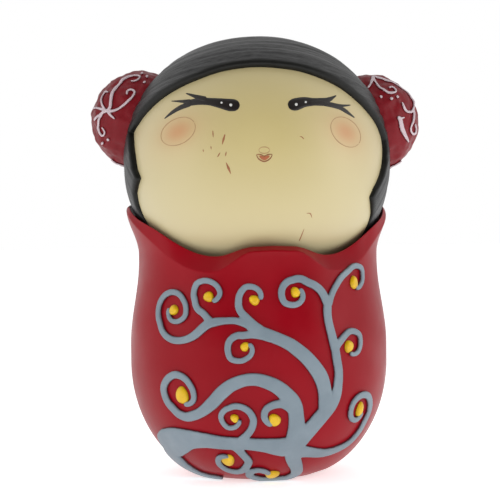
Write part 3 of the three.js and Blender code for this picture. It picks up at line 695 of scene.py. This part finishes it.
def face_shell():
    """The cream head: a thin-walled ball with the neck hole below."""
    columns, rows = 240, 150
    lowest = math.acos((HEAD_BOTTOM_Z - HEAD_Z) / HEAD_H)
    inner_lowest = math.acos((HEAD_BOTTOM_Z + HEAD_WALL - HEAD_Z) / (HEAD_H - HEAD_WALL))
    pole = 0.002
    outline = []
    for up in np.cos(np.linspace(lowest, pole, rows)):
        outline.append((HEAD_R * float(head_radius(up, HEAD_POWERS)), HEAD_Z + HEAD_H * up))
    for up in np.cos(np.linspace(pole, inner_lowest, 30)):
        outline.append(((HEAD_R - HEAD_WALL) * float(head_radius(up, HEAD_POWERS)),
                        HEAD_Z + (HEAD_H - HEAD_WALL) * up))
    outline += [(NECK_HOLE_R, HEAD_BOTTOM_Z + HEAD_WALL), (NECK_HOLE_R, HEAD_BOTTOM_Z)]
    verts = []
    for j in range(columns):
        a = 2 * math.pi * j / columns
        verts += [(r * math.sin(a), -r * math.cos(a), z) for r, z in outline]
    faces = loop_faces(columns, len(outline))
    points = np.array(verts)
    head = new_object("head_painted", verts, faces, face_material(), HEAD)
    x, y, z = points.T
    front = y < 0
    blush = np.zeros(len(points))
    for spot in BLUSH:
        d = in_blush(x - FACE_OFF_CENTRE, z, spot)
        blush = np.maximum(blush, 0.6 * np.exp(-(d * 1.2) ** 2) + 0.2 * np.exp(-(d / 2.0) ** 2))
    add_attribute(head, "blush", np.where(front, blush, 0))
    add_attribute(head, "warmth", np.clip(1.15 - np.hypot(x / 34, (z - 101) / 30), 0, 1))
    # The painted shade where the face drops into the collar.
    add_attribute(head, "shade", painted_collar_shade(x, y, z))
    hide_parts("head_shell")


def painted_collar_shade(x, y, z):
    """Painted shade on the face where it drops into the collar: a brown-red darkening that stands in for the
    collar's shadow and its red bounce light.
    """
    angle = np.degrees(np.arctan2(x, -y))
    rim = np.array([along_stops(PETAL_EDGE, a) + along_stops(RIM_RISE, a) for a in angle])
    middle = np.exp(-(angle / 16) ** 2)
    top = rim + 0.8 + 2.6 * middle
    reach = 2.0 + 2.4 * middle
    return (0.35 + 0.3 * middle) * np.clip((top - z) / reach, 0, 1) ** 1.3


# The edge of the hair round the face, seen from the front, from the middle of the brow down one
# side: (x, z). The temple corner and the tip of the side lock are sharp.
HAIR_EDGE_LEFT = [(0, 120.1), (-6, 119.8), (-11.8, 118.8), (-17.5, 116.9), (-23.3, 114.5), (-29.0, 111.1),
                  (-32.9, 107.6), (-35.4, 104.4), (-36.9, 102.2), (-36.8, 99.8), (-36.3, 95.5), (-35.8, 91.6),
                  (-34.7, 88.7), (-35.5, 86.6), (-36.0, 84.4), (-35.6, 81.5), (-34.4, 78),
                  (-32.5, 74.5), (-27.5, 68)]
HAIR_EDGE_RIGHT = [(0, 120.1), (5.4, 119.7), (11.2, 118.8), (17.1, 116.9), (23.0, 114.1), (27.5, 110.8),
                   (31.3, 107.3), (34.5, 103.4), (36.2, 99.4), (36.4, 96.5), (36.0, 92.5), (34.6, 88.4),
                   (32.6, 85.0), (31.4, 82.6), (31.9, 80.0), (32.2, 77.5), (31.5, 74.5), (27.5, 68)]


def front_direction(x, z):
    """The face point at (x, z) as a unit direction: heading round the head, and share of height."""
    up = (z - HEAD_Z) / HEAD_H
    side = (x + FACE_OFF_CENTRE) / (HEAD_R * float(head_radius(up, HEAD_POWERS)))
    side = max(-0.999, min(0.999, side))
    level = math.sqrt(1 - up * up)
    return np.array([level * side, -level * math.sqrt(1 - side * side), up])


def head_skin(direction, radius, height, powers):
    """The point of a head-shaped surface for a unit direction."""
    x, y, up = direction
    level = max(1e-6, math.hypot(x, y))
    r = radius * float(head_radius(up, powers)) / level
    return np.array([r * x, r * y, HEAD_Z + height * up])


def between_face_and_hair(direction, t):
    """A point between the face surface (t = 0) and the hair's outer surface (t = 1)."""
    face = head_skin(direction, HEAD_R, HEAD_H, HEAD_POWERS)
    outer = head_skin(direction, HAIR_R, HAIR_H, HAIR_POWERS)
    return face + (outer - face) * t


def hair_boundary(count):
    """Directions round the whole edge of the hair: the face opening, then the hem behind."""
    left = [front_direction(x, z) for x, z in HAIR_EDGE_LEFT]
    right = [front_direction(x, z) for x, z in HAIR_EDGE_RIGHT]
    hem_up = (HAIR_BOTTOM_Z - HEAD_Z) / HEAD_H
    ring = math.sqrt(1 - hem_up**2)
    start = math.degrees(math.atan2(left[-1][0], -left[-1][1]))
    end = math.degrees(math.atan2(right[-1][0], -right[-1][1]))
    hem = []
    for a in np.linspace(start, end - 360, 26)[1:-1]:
        a = math.radians(a)
        hem.append(np.array([ring * math.sin(a), -ring * math.cos(a), hem_up]))
    loop = left + hem + right[::-1][:-1]
    points = np.array(loop + [loop[0]])
    run = np.concatenate([[0], np.cumsum(np.linalg.norm(np.diff(points, axis=0), axis=1))])
    places = np.linspace(0, run[-1], count, endpoint=False)
    ring_points = np.column_stack([np.interp(places, run, points[:, k]) for k in range(3)])
    return ring_points / np.linalg.norm(ring_points, axis=1)[:, None]


def slerp(a, b, t):
    """The unit direction a share t of the way from a to b."""
    cosine = float(np.clip(np.dot(a, b), -1, 1))
    angle = math.acos(cosine)
    if angle < 1e-6:
        return a
    return (math.sin((1 - t) * angle) * a + math.sin(t * angle) * b) / math.sin(angle)


FINE_STRAND, BROAD_STRAND = 0.26, 0.3


def strand_groove(point):
    """Depth of the combed grooves, which run in arcs from one bun over the head to the other."""
    fan = math.atan2(point[2] - BUN_Z, point[1] - BUN_Y)
    bend = 0.35 * noise.noise(Vector((point[0] * 0.05, fan * 2.0, 3.1)))
    fine = noise.noise(Vector((fan * 26 + bend * 5, point[0] * 0.035, 7.7)))
    broad = noise.noise(Vector((fan * 7 + bend * 3, point[0] * 0.02, 1.3)))
    return FINE_STRAND * fine + BROAD_STRAND * broad


# How the hair rises from the face: (distance in from its edge, share of its full thickness).
HAIR_LIP = [(0.0, -0.25), (0.0, 0.15), (0.1, 0.5), (0.35, 0.78), (0.8, 0.94), (1.5, 1.0)]
LIP_WIDTH = 2.4            # the dark band along the edge
HAIR_BACK_POLE = np.array([0.0, 0.94, 0.342])
# Near its hem the hair is thin, so its grooves end there and it stands a little further out.
HEM_SWELL, HEM_SWELL_Z, HEM_SWELL_REACH = 0.45, 72.0, 5.0


def hair():
    """The hair: rings of points that shrink from its edge to a pole at the back, then return inside."""
    around, outer_rows, inner_rows = 520, 130, 12
    boundary = hair_boundary(around)
    reaches = [math.acos(float(np.clip(np.dot(d, HAIR_BACK_POLE), -1, 1))) * HAIR_R for d in boundary]
    lip_end = HAIR_LIP[-1][0]
    rows = [(inward, None, rise) for inward, rise in HAIR_LIP]
    rows += [(lip_end, i / outer_rows, 1.0) for i in range(1, outer_rows + 1)]
    rows += [(0.0, 1 - i / inner_rows, -0.25) for i in range(inner_rows)]
    verts, lips = [], []
    for inward, share, rise in rows:
        for direction, reach in zip(boundary, reaches):
            distance = inward if share is None else inward + (0.995 * reach - inward) * share
            d = slerp(direction, HAIR_BACK_POLE, distance / reach)
            point = between_face_and_hair(d, rise)
            if rise > 0:
                low = max(0.0, min(1.0, (HEM_SWELL_Z - point[2]) / HEM_SWELL_REACH))
                groove = strand_groove(point) * min(1.0, 0.25 + distance / 6)
                point = point + d * rise * (groove * (1 - low) + HEM_SWELL * low)
            verts.append(tuple(point))
            lips.append(max(0.0, min(1.0, (LIP_WIDTH - distance) / 0.6)) if rise > 0 else 1.0)
    faces = loop_faces(len(rows), around)
    piece = new_object("hair", verts, faces, hair_material(), HEAD)
    add_attribute(piece, "lip", lips)
    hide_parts("hair_cap")


# ---- buns ----
def bun(side, word):
    """A bun: rows of points from its outer tip to the tip inside the hair."""
    around, rings = 144, 90
    centre = bun_centre(side)
    verts = []
    for i in range(1, rings):
        lean = math.pi * i / rings
        for j in range(around):
            turn = 2 * math.pi * j / around
            d = Vector((math.cos(lean), math.sin(lean) * math.cos(turn), math.sin(lean) * math.sin(turn)))
            r = BUN_R + bun_lumps(side, d)
            verts.append((centre.x + side * r * d.x, centre.y + r * d.y, centre.z + r * d.z))
    tips = [(centre.x + side * BUN_R, centre.y, centre.z), (centre.x - side * BUN_R, centre.y, centre.z)]
    first, last = len(verts), len(verts) + 1
    verts += tips
    faces = loop_faces(rings - 1, around, close_rows=False)
    base = (rings - 2) * around
    faces += [(first, (j + 1) % around, j) for j in range(around)]
    faces += [(last, base + j, base + (j + 1) % around) for j in range(around)]
    if side < 0:
        faces = [tuple(reversed(face)) for face in faces]
    piece = new_object(f"bun_painted_{word}", verts, faces, bun_enamel, HEAD)
    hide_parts(f"bun_{word}")


# The sprigs as seen from the front of the doll: (right, up) in shares of the bun's radius from
# its middle, and the width in millimetres. Then the small raised dots.
SPRIG_RIGHT_FRONT = [
    [(-0.66, 0.18, 1.5), (-0.5, 0.18, 1.0), (-0.3, 0.3, 0.9), (-0.15, 0.44, 0.9), (-0.1, 0.55, 0.9),
     (-0.16, 0.6, 0.8), (-0.24, 0.57, 0.8), (-0.25, 0.49, 0.7)],
    [(-0.66, 0.18, 1.4), (-0.59, 0.26, 1.2), (-0.555, 0.46, 1.4), (-0.47, 0.66, 1.4), (-0.33, 0.81, 1.2),
     (-0.18, 0.88, 1.0), (-0.04, 0.89, 0.9), (0.0, 0.84, 0.8), (-0.06, 0.79, 0.7), (-0.18, 0.78, 0.6)],
    [(-0.68, 0.18, 1.2), (-0.73, 0.26, 1.0), (-0.75, 0.43, 0.9), (-0.69, 0.57, 0.8), (-0.62, 0.54, 0.7)],
    [(-0.66, 0.18, 1.3), (-0.77, 0.22, 1.1), (-0.87, 0.25, 1.0), (-0.94, 0.24, 0.8)],
    [(-0.66, 0.18, 1.3), (-0.8, 0.12, 1.1), (-0.9, 0.0, 0.8)],
    [(-0.76, 0.14, 1.0), (-0.81, 0.03, 1.0), (-0.83, -0.16, 1.0), (-0.77, -0.31, 0.9), (-0.71, -0.25, 0.7),
     (-0.76, -0.14, 0.6)],
    [(-0.66, 0.2, 1.4), (-0.58, 0.09, 1.1), (-0.49, 0.01, 0.4)],
    [(-0.6, -0.78, 0.6), (-0.44, -0.87, 0.8), (-0.26, -0.94, 0.6)],
]
SPRIG_LEFT_FRONT = [
    [(0.05, 0.94, 1.2), (0.0, 0.82, 1.1), (-0.09, 0.71, 0.5)],
    [(0.05, 0.92, 1.1), (0.09, 0.83, 1.0), (0.16, 0.7, 0.9), (0.3, 0.6, 0.9), (0.42, 0.59, 0.9),
     (0.48, 0.63, 0.8), (0.42, 0.7, 0.7), (0.33, 0.69, 0.7)],
    [(0.05, 0.94, 1.1), (0.24, 0.9, 1.0), (0.42, 0.83, 1.0), (0.66, 0.69, 1.0), (0.8, 0.54, 1.0),
     (0.87, 0.4, 1.1), (0.84, 0.25, 1.1), (0.72, 0.21, 1.1), (0.62, 0.29, 1.1), (0.6, 0.41, 1.0)],
    [(0.86, 0.3, 0.9), (0.84, 0.12, 1.1), (0.8, -0.04, 1.2), (0.81, -0.18, 1.2), (0.87, -0.23, 1.1),
     (0.915, -0.14, 0.9), (0.89, -0.02, 0.7)],
    [(0.48, 0.11, 1.2), (0.54, 0.05, 2.2), (0.565, -0.07, 2.2), (0.62, -0.2, 1.8), (0.67, -0.29, 1.5),
     (0.72, -0.39, 0.4)],
    [(0.53, 0.07, 1.0), (0.64, 0.1, 0.5)],
    [(0.38, -0.9, 0.6), (0.5, -0.82, 0.8), (0.62, -0.75, 0.6)],
]
DOTS_RIGHT_FRONT = [(0.04, 0.92), (0.14, 0.85), (0.09, 0.74), (-0.64, -0.39), (-0.75, -0.45)]
DOTS_LEFT_FRONT = [(0.16, 0.51), (0.36, 0.46), (0.5, 0.51), (0.3, -0.62)]
SPRIG_TURNS = (0, 180)     # the drawing on the front repeats on the far side of the bun
SPRIG_NARROW = 0.78
SPRIG_STEP = 0.3
SPRIG_VOXEL = 0.12
DOT_SIZE = 0.95
SPRIG_ROOT = -0.25


def onto_bun(side, turn):
    """Wraps a flat drawing round a bun, turned about the bun's outward axis."""
    spin = Matrix.Rotation(math.radians(turn), 3, "X")
    centre = bun_centre(side)

    def wrap(x, y, depth):
        reach = math.hypot(x, y) / BUN_R
        around = math.atan2(y, x)
        d = spin @ Vector((math.sin(reach) * math.cos(around), -math.cos(reach),
                           math.sin(reach) * math.sin(around)))
        local = d * (BUN_R + bun_lumps(side, d) + depth)
        return centre.x + side * local.x, centre.y + local.y, centre.z + local.z
    return wrap


def unrolled(side, x, y):
    """A place seen on the front of a bun as (outwards, up) millimetres of arc from its front."""
    reach = math.hypot(x, y)
    arc = BUN_R * math.asin(min(0.97, reach)) / reach
    return side * x * arc, y * arc


def level_scale(_):
    return 1, 1


def sprig_dots(side, places, wrap):
    parts = []
    for place in places:
        x, y = unrolled(side, *place)
        centre = np.array([(x + DOT_SIZE * t, y) for t in np.linspace(-0.5, 0.5, 7)])
        parts.append(strip(centre, [DOT_SIZE] * 7, level_scale, wrap, SPRIG_ROOT, SPRIG_TOP, RELIEF_SECTION))
    return parts


def sprigs(side, word, front, dots):
    drawing = [[(*unrolled(side, x, y), SPRIG_NARROW * width) for x, y, width in path] for path in front]
    parts = []
    for turn in SPRIG_TURNS:
        wrap = onto_bun(side, turn)
        parts += [tendril(path, None, np.array, level_scale, wrap, SPRIG_ROOT, SPRIG_TOP, SPRIG_STEP)
                  for path in drawing]
        parts += sprig_dots(side, dots, wrap)
    verts, faces = joined(parts)
    piece = new_object(f"bun_sprigs_{word}", verts, faces, sprig_paint, HEAD)
    fused(piece, SPRIG_VOXEL, 2)
    unturn = Matrix.Rotation(math.radians(-HEAD_TURN), 3, "Z")
    height = []
    for point in points_of(piece):
        arm = unturn @ Vector(point) - bun_centre(side)
        arm.x *= side
        height.append(arm.length - BUN_R - bun_lumps(side, arm.normalized()))
    add_attribute(piece, "height", height)
    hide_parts(f"bun_sprig_{word}")


# ---- painted face ----
def on_face(x, z, depth):
    """A point standing off the face's surface, for a place seen from the front."""
    step = 0.1
    here = head_skin(front_direction(x, z), HEAD_R, HEAD_H, HEAD_POWERS)
    beside = head_skin(front_direction(x + step, z), HEAD_R, HEAD_H, HEAD_POWERS)
    above = head_skin(front_direction(x, z + step), HEAD_R, HEAD_H, HEAD_POWERS)
    normal = np.cross(beside - here, above - here)
    return tuple(here + normal / np.linalg.norm(normal) * depth)


PAINT_TOP = 0.05
PAINT_ROOT = -0.15
EYE_LIGHT_RAISE, LIP_LINE_RAISE = 0.06, 0.03     # paint laid over other paint stands this much higher


def stroke(points, widths, top=PAINT_TOP, step=0.25):
    """A painted stroke on the face through (x, z) points, with a width at each of them."""
    guide = [np.array(p, float) for p in points]
    centre, _ = evenly_spaced(guide, step)
    wide = np.interp(np.linspace(0, 1, len(centre)), np.linspace(0, 1, len(widths)), widths)
    return strip(centre, wide, level_scale, on_face, PAINT_ROOT, top, PAINT_SECTION)


def ellipse_points(x, z, long_half, short_half, tilt):
    """Points round an ellipse, which stop just short of where they began."""
    a = math.radians(tilt)
    points = []
    for t in np.linspace(0, 358, 40):
        u, v = long_half * math.cos(math.radians(t)), short_half * math.sin(math.radians(t))
        points.append((x + u * math.cos(a) - v * math.sin(a), z + u * math.sin(a) + v * math.cos(a)))
    return points


def face_paint(name, strokes, material):
    verts, faces = joined(strokes)
    piece = new_object(name, verts, faces, material, HEAD)


def eyes():
    black = paint_material("eye_black", (0.01, 0.006, 0.005), 0.45)
    white = paint_material("eye_white", (0.75, 0.75, 0.72), 0.3)
    face_paint("eye_right", [
        stroke([(-6.4, 109.1), (-9, 109.1), (-12, 109.7), (-15.2, 110.25), (-18, 110.35), (-20.4, 110.0),
                (-22.4, 109.3)], [3.4, 3.7, 3.0, 2.3, 2.1, 1.9, 1.0]),
        stroke([(-15.6, 110.9), (-18.4, 111.7), (-21.5, 112.9)], [1.7, 1.2, 0.35]),
        stroke([(-20, 110.4), (-23, 110.6), (-25.8, 110.8)], [1.5, 0.8, 0.2]),
        stroke([(-20, 109.9), (-23.3, 108.7), (-25.7, 107.3), (-27.8, 105.7)], [1.6, 1.4, 1.0, 0.25]),
    ], black)
    face_paint("eye_left", [
        stroke([(7.2, 109.1), (9.2, 109.1), (12, 109.8), (14.8, 109.9), (17.2, 110.1), (19.3, 110.6),
                (21.7, 111.9)], [3.3, 3.7, 3.0, 2.3, 2.0, 1.4, 0.3]),
        stroke([(13.5, 109.5), (17.4, 109.5), (20.4, 109.1), (23, 108.9), (26, 109.2)],
               [1.4, 1.6, 1.4, 0.9, 0.3]),
        stroke([(17.6, 109.3), (20.8, 108.8), (23.4, 107.9), (27, 105.5)], [1.2, 1.3, 1.2, 0.3]),
    ], black)
    spots = [(-8.9, 109.1, 0.42), (-11.5, 109.8, 0.3), (9.6, 109.1, 0.42), (12.4, 109.8, 0.3)]
    face_paint("eye_lights", [stroke([(x - r, z), (x, z), (x + r, z)], [1.6 * r, 2 * r, 1.6 * r],
                                     top=PAINT_TOP + EYE_LIGHT_RAISE, step=0.12)
                              for x, z, r in spots], white)


def cheeks_nose_mouth():
    outline = paint_material("outline_brown", (0.42, 0.25, 0.11), 0.45)
    lips = paint_material("lip_orange", (0.42, 0.12, 0.045), 0.4)
    lip_line = paint_material("lip_line", (0.26, 0.09, 0.035), 0.4)
    rings = [stroke(ellipse_points(*spot), [0.16, 0.22, 0.16, 0.22, 0.16]) for spot in BLUSH]
    nose = stroke(ellipse_points(0.2, 96.2, 1.5, 0.9, 0), [0.2, 0.26, 0.16, 0.26, 0.2])
    face_paint("cheek_and_nose_lines", rings + [nose], outline)
    face_paint("lips", [stroke([(-1.2, 94.6), (0.2, 93.9), (1.7, 94.6)], [0.5, 1.2, 0.5])], lips)
    lower = [(-2.0, 95.0), (-1.4, 93.8), (0.2, 93.0), (1.8, 93.8), (2.5, 95.0)]
    upper = [(-2.0, 95.0), (-0.9, 95.0), (0.2, 94.6), (1.4, 95.0), (2.5, 95.0)]
    face_paint("lip_edge", [
        stroke(lower, [0.2, 0.35, 0.35, 0.35, 0.2], top=PAINT_TOP + LIP_LINE_RAISE),
        stroke(upper, [0.2, 0.32, 0.26, 0.32, 0.2], top=PAINT_TOP + LIP_LINE_RAISE),
    ], lip_line)


def wear():
    """Small scuffs where the paint shows red-brown."""
    scuff = paint_material("scuff", (0.33, 0.12, 0.05), 0.55)
    marks = [
        ([(-14.1, 101.9), (-14.0, 100.0)], [0.2, 0.32, 0.1]),
        ([(-10.7, 100.8), (-11.2, 99.2), (-11.5, 97.9)], [0.25, 0.6, 0.15]),
        ([(-12.9, 94.4), (-12.1, 95.7)], [0.15, 0.35, 0.1]),
        ([(-10.4, 95.9), (-10.7, 94.6)], [0.15, 0.4, 0.1]),
        ([(-10.5, 92.9), (-9.9, 91.4), (-9.2, 89.6)], [0.15, 0.75, 0.12]),
        ([(-16.9, 96.7), (-16.8, 95.9)], [0.1, 0.3, 0.1]),
        ([(-14.7, 97.6), (-14.6, 96.6)], [0.1, 0.28, 0.1]),
        ([(10.3, 99.9), (10.9, 99.9), (11.6, 99.2)], [0.1, 0.25, 0.15]),
        ([(12.2, 78.3), (13.3, 78.2), (13.8, 77.0)], [0.1, 0.3, 0.12]),
        ([(11.6, 73.9), (11.0, 72.2), (10.3, 70.4)], [0.1, 0.25, 0.25]),
    ]
    face_paint("scuffs", [stroke(points, widths, step=0.15) for points, widths in marks], scuff)


# ---- carried-over CAD pieces ----
def finish_hidden_pieces():
    wood, rubber = wood_material(), rubber_material()
    finishes = {"neck_peg": wood, "neck_socket": wood, "bun_peg_left": wood, "bun_peg_right": wood,
                "base_plug": rubber}
    for node, finish in finishes.items():
        for slot in frame["nodes"][node].material_slots:
            slot.material = finish


# ---- stage ----
FLOOR_HALF = 2.0
FLOOR_GLOW = 0.6


def stage():
    """A plain pale table top that glows a little, so that it fades into the white room."""
    mesh = bpy.data.meshes.new("floor")
    corners = [(x * FLOOR_HALF, y * FLOOR_HALF, 0) for x, y in ((-1, -1), (1, -1), (1, 1), (-1, 1))]
    mesh.from_pydata(corners, [], [(0, 1, 2, 3)])
    floor = placed("floor", mesh)
    material, w = node_material("floor", 0.9)
    w.paint(w.ramp(w.noise(3, 2), [(0.3, (0.93, 0.93, 0.93)), (0.7, (0.95, 0.95, 0.95))]))
    w.shader.inputs["Emission Color"].default_value = (1, 1, 1, 1)
    w.shader.inputs["Emission Strength"].default_value = FLOOR_GLOW
    mesh.materials.append(material)


# The room is dark round this direction. Its strength falls from bright to dark between the first
# two values of the cosine to that direction.
DARK_SIDE = (0.0, -0.85, 0.53)
DARK_FALL = (0.2, 0.85, 0.92, 0.05)


def world():
    """White all round for the camera; for the light on the doll, dark in front and bright aside."""
    scene_world = bpy.data.worlds.new("studio")
    bpy.context.scene.world = scene_world
    scene_world.use_nodes = True
    w = Wires(scene_world)
    seen, lit = w.tree.nodes["Background"], w.node("ShaderNodeBackground")
    for background in (seen, lit):
        background.inputs["Color"].default_value = (1, 1, 1, 1)
    facing = w.node("ShaderNodeVectorMath", operation="DOT_PRODUCT")
    facing.inputs[1].default_value = DARK_SIDE
    fall = w.node("ShaderNodeMapRange", interpolation_type="SMOOTHSTEP")
    for socket, value in zip(("From Min", "From Max", "To Min", "To Max"), DARK_FALL):
        fall.inputs[socket].default_value = value
    mix = w.node("ShaderNodeMixShader")
    w.link(w.node("ShaderNodeTexCoord").outputs["Generated"], facing.inputs[0])
    w.link(facing.outputs["Value"], fall.inputs["Value"])
    w.link(fall.outputs["Result"], lit.inputs["Strength"])
    w.link(w.node("ShaderNodeLightPath").outputs["Is Camera Ray"], mix.inputs[0])
    w.link(lit.outputs[0], mix.inputs[1])
    w.link(seen.outputs[0], mix.inputs[2])
    w.link(mix.outputs[0], w.tree.nodes["World Output"].inputs["Surface"])


DOLL_MIDDLE = Vector((0, 0, 0.066))

# Each softbox: its name, azimuth and elevation in degrees, distance, size and power in watts, and
# whether it shows in gloss.
SOFTBOXES = [
    ("box_left", -70, 15, 0.7, 0.4, 0.45, True),
    ("box_right", 70, 15, 0.7, 0.4, 0.95, True),
    ("box_front", -5, 18, 0.9, 0.5, 3.0, False),
]


def towards(azimuth, elevation):
    """The unit direction from the doll to a place round it; azimuth 0 is in front."""
    a, e = math.radians(azimuth), math.radians(elevation)
    return Vector((math.sin(a) * math.cos(e), -math.cos(a) * math.cos(e), math.sin(e)))


def lights():
    for name, azimuth, elevation, distance, size, power, mirrored in SOFTBOXES:
        light = bpy.data.lights.new(name, "AREA")
        light.shape = "SQUARE"
        light.size = size
        light.energy = power
        lamp = placed(name, light)
        lamp.visible_glossy = mirrored
        back = towards(azimuth, elevation)
        lamp.location = DOLL_MIDDLE + back * distance
        lamp.rotation_euler = (-back).to_track_quat("-Z", "Y").to_euler()


CAMERA_AZIMUTH, CAMERA_ELEVATION, CAMERA_ROLL = -5.0, 2.0, 0.6
CAMERA_DISTANCE = 0.6
CAMERA_SENSOR_MM, CAMERA_LENS_MM = 36, 144
AIM_HEIGHT, AIM_LEFT = 0.0669, 0.0023


def camera():
    data = bpy.data.cameras.new("camera")
    data.sensor_width = CAMERA_SENSOR_MM
    data.lens = CAMERA_LENS_MM
    data.clip_start, data.clip_end = 0.01, 20
    lens = placed("camera", data)
    back = towards(CAMERA_AZIMUTH, CAMERA_ELEVATION)
    a = math.radians(CAMERA_AZIMUTH)
    right = Vector((math.cos(a), math.sin(a), 0))
    lens.location = Vector((0, 0, AIM_HEIGHT)) - right * AIM_LEFT + back * CAMERA_DISTANCE
    level = (-back).to_track_quat("-Z", "Y").to_matrix()
    lens.rotation_euler = (Matrix.Rotation(-math.radians(CAMERA_ROLL), 3, back) @ level).to_euler()
    bpy.context.scene.camera = lens


camera()
lights()
world()
stage()
bpy.context.scene.view_settings.view_transform = "Standard"

body_shell()
vine()
berries()
face_shell()
hair()
for bun_side, bun_word, front_sprig, front_dots in (
        (-1, "right", SPRIG_RIGHT_FRONT, DOTS_RIGHT_FRONT),
        (1, "left", SPRIG_LEFT_FRONT, DOTS_LEFT_FRONT)):
    bun(bun_side, bun_word)
    sprigs(bun_side, bun_word, front_sprig, front_dots)
eyes()
cheeks_nose_mouth()
wear()
finish_hidden_pieces()
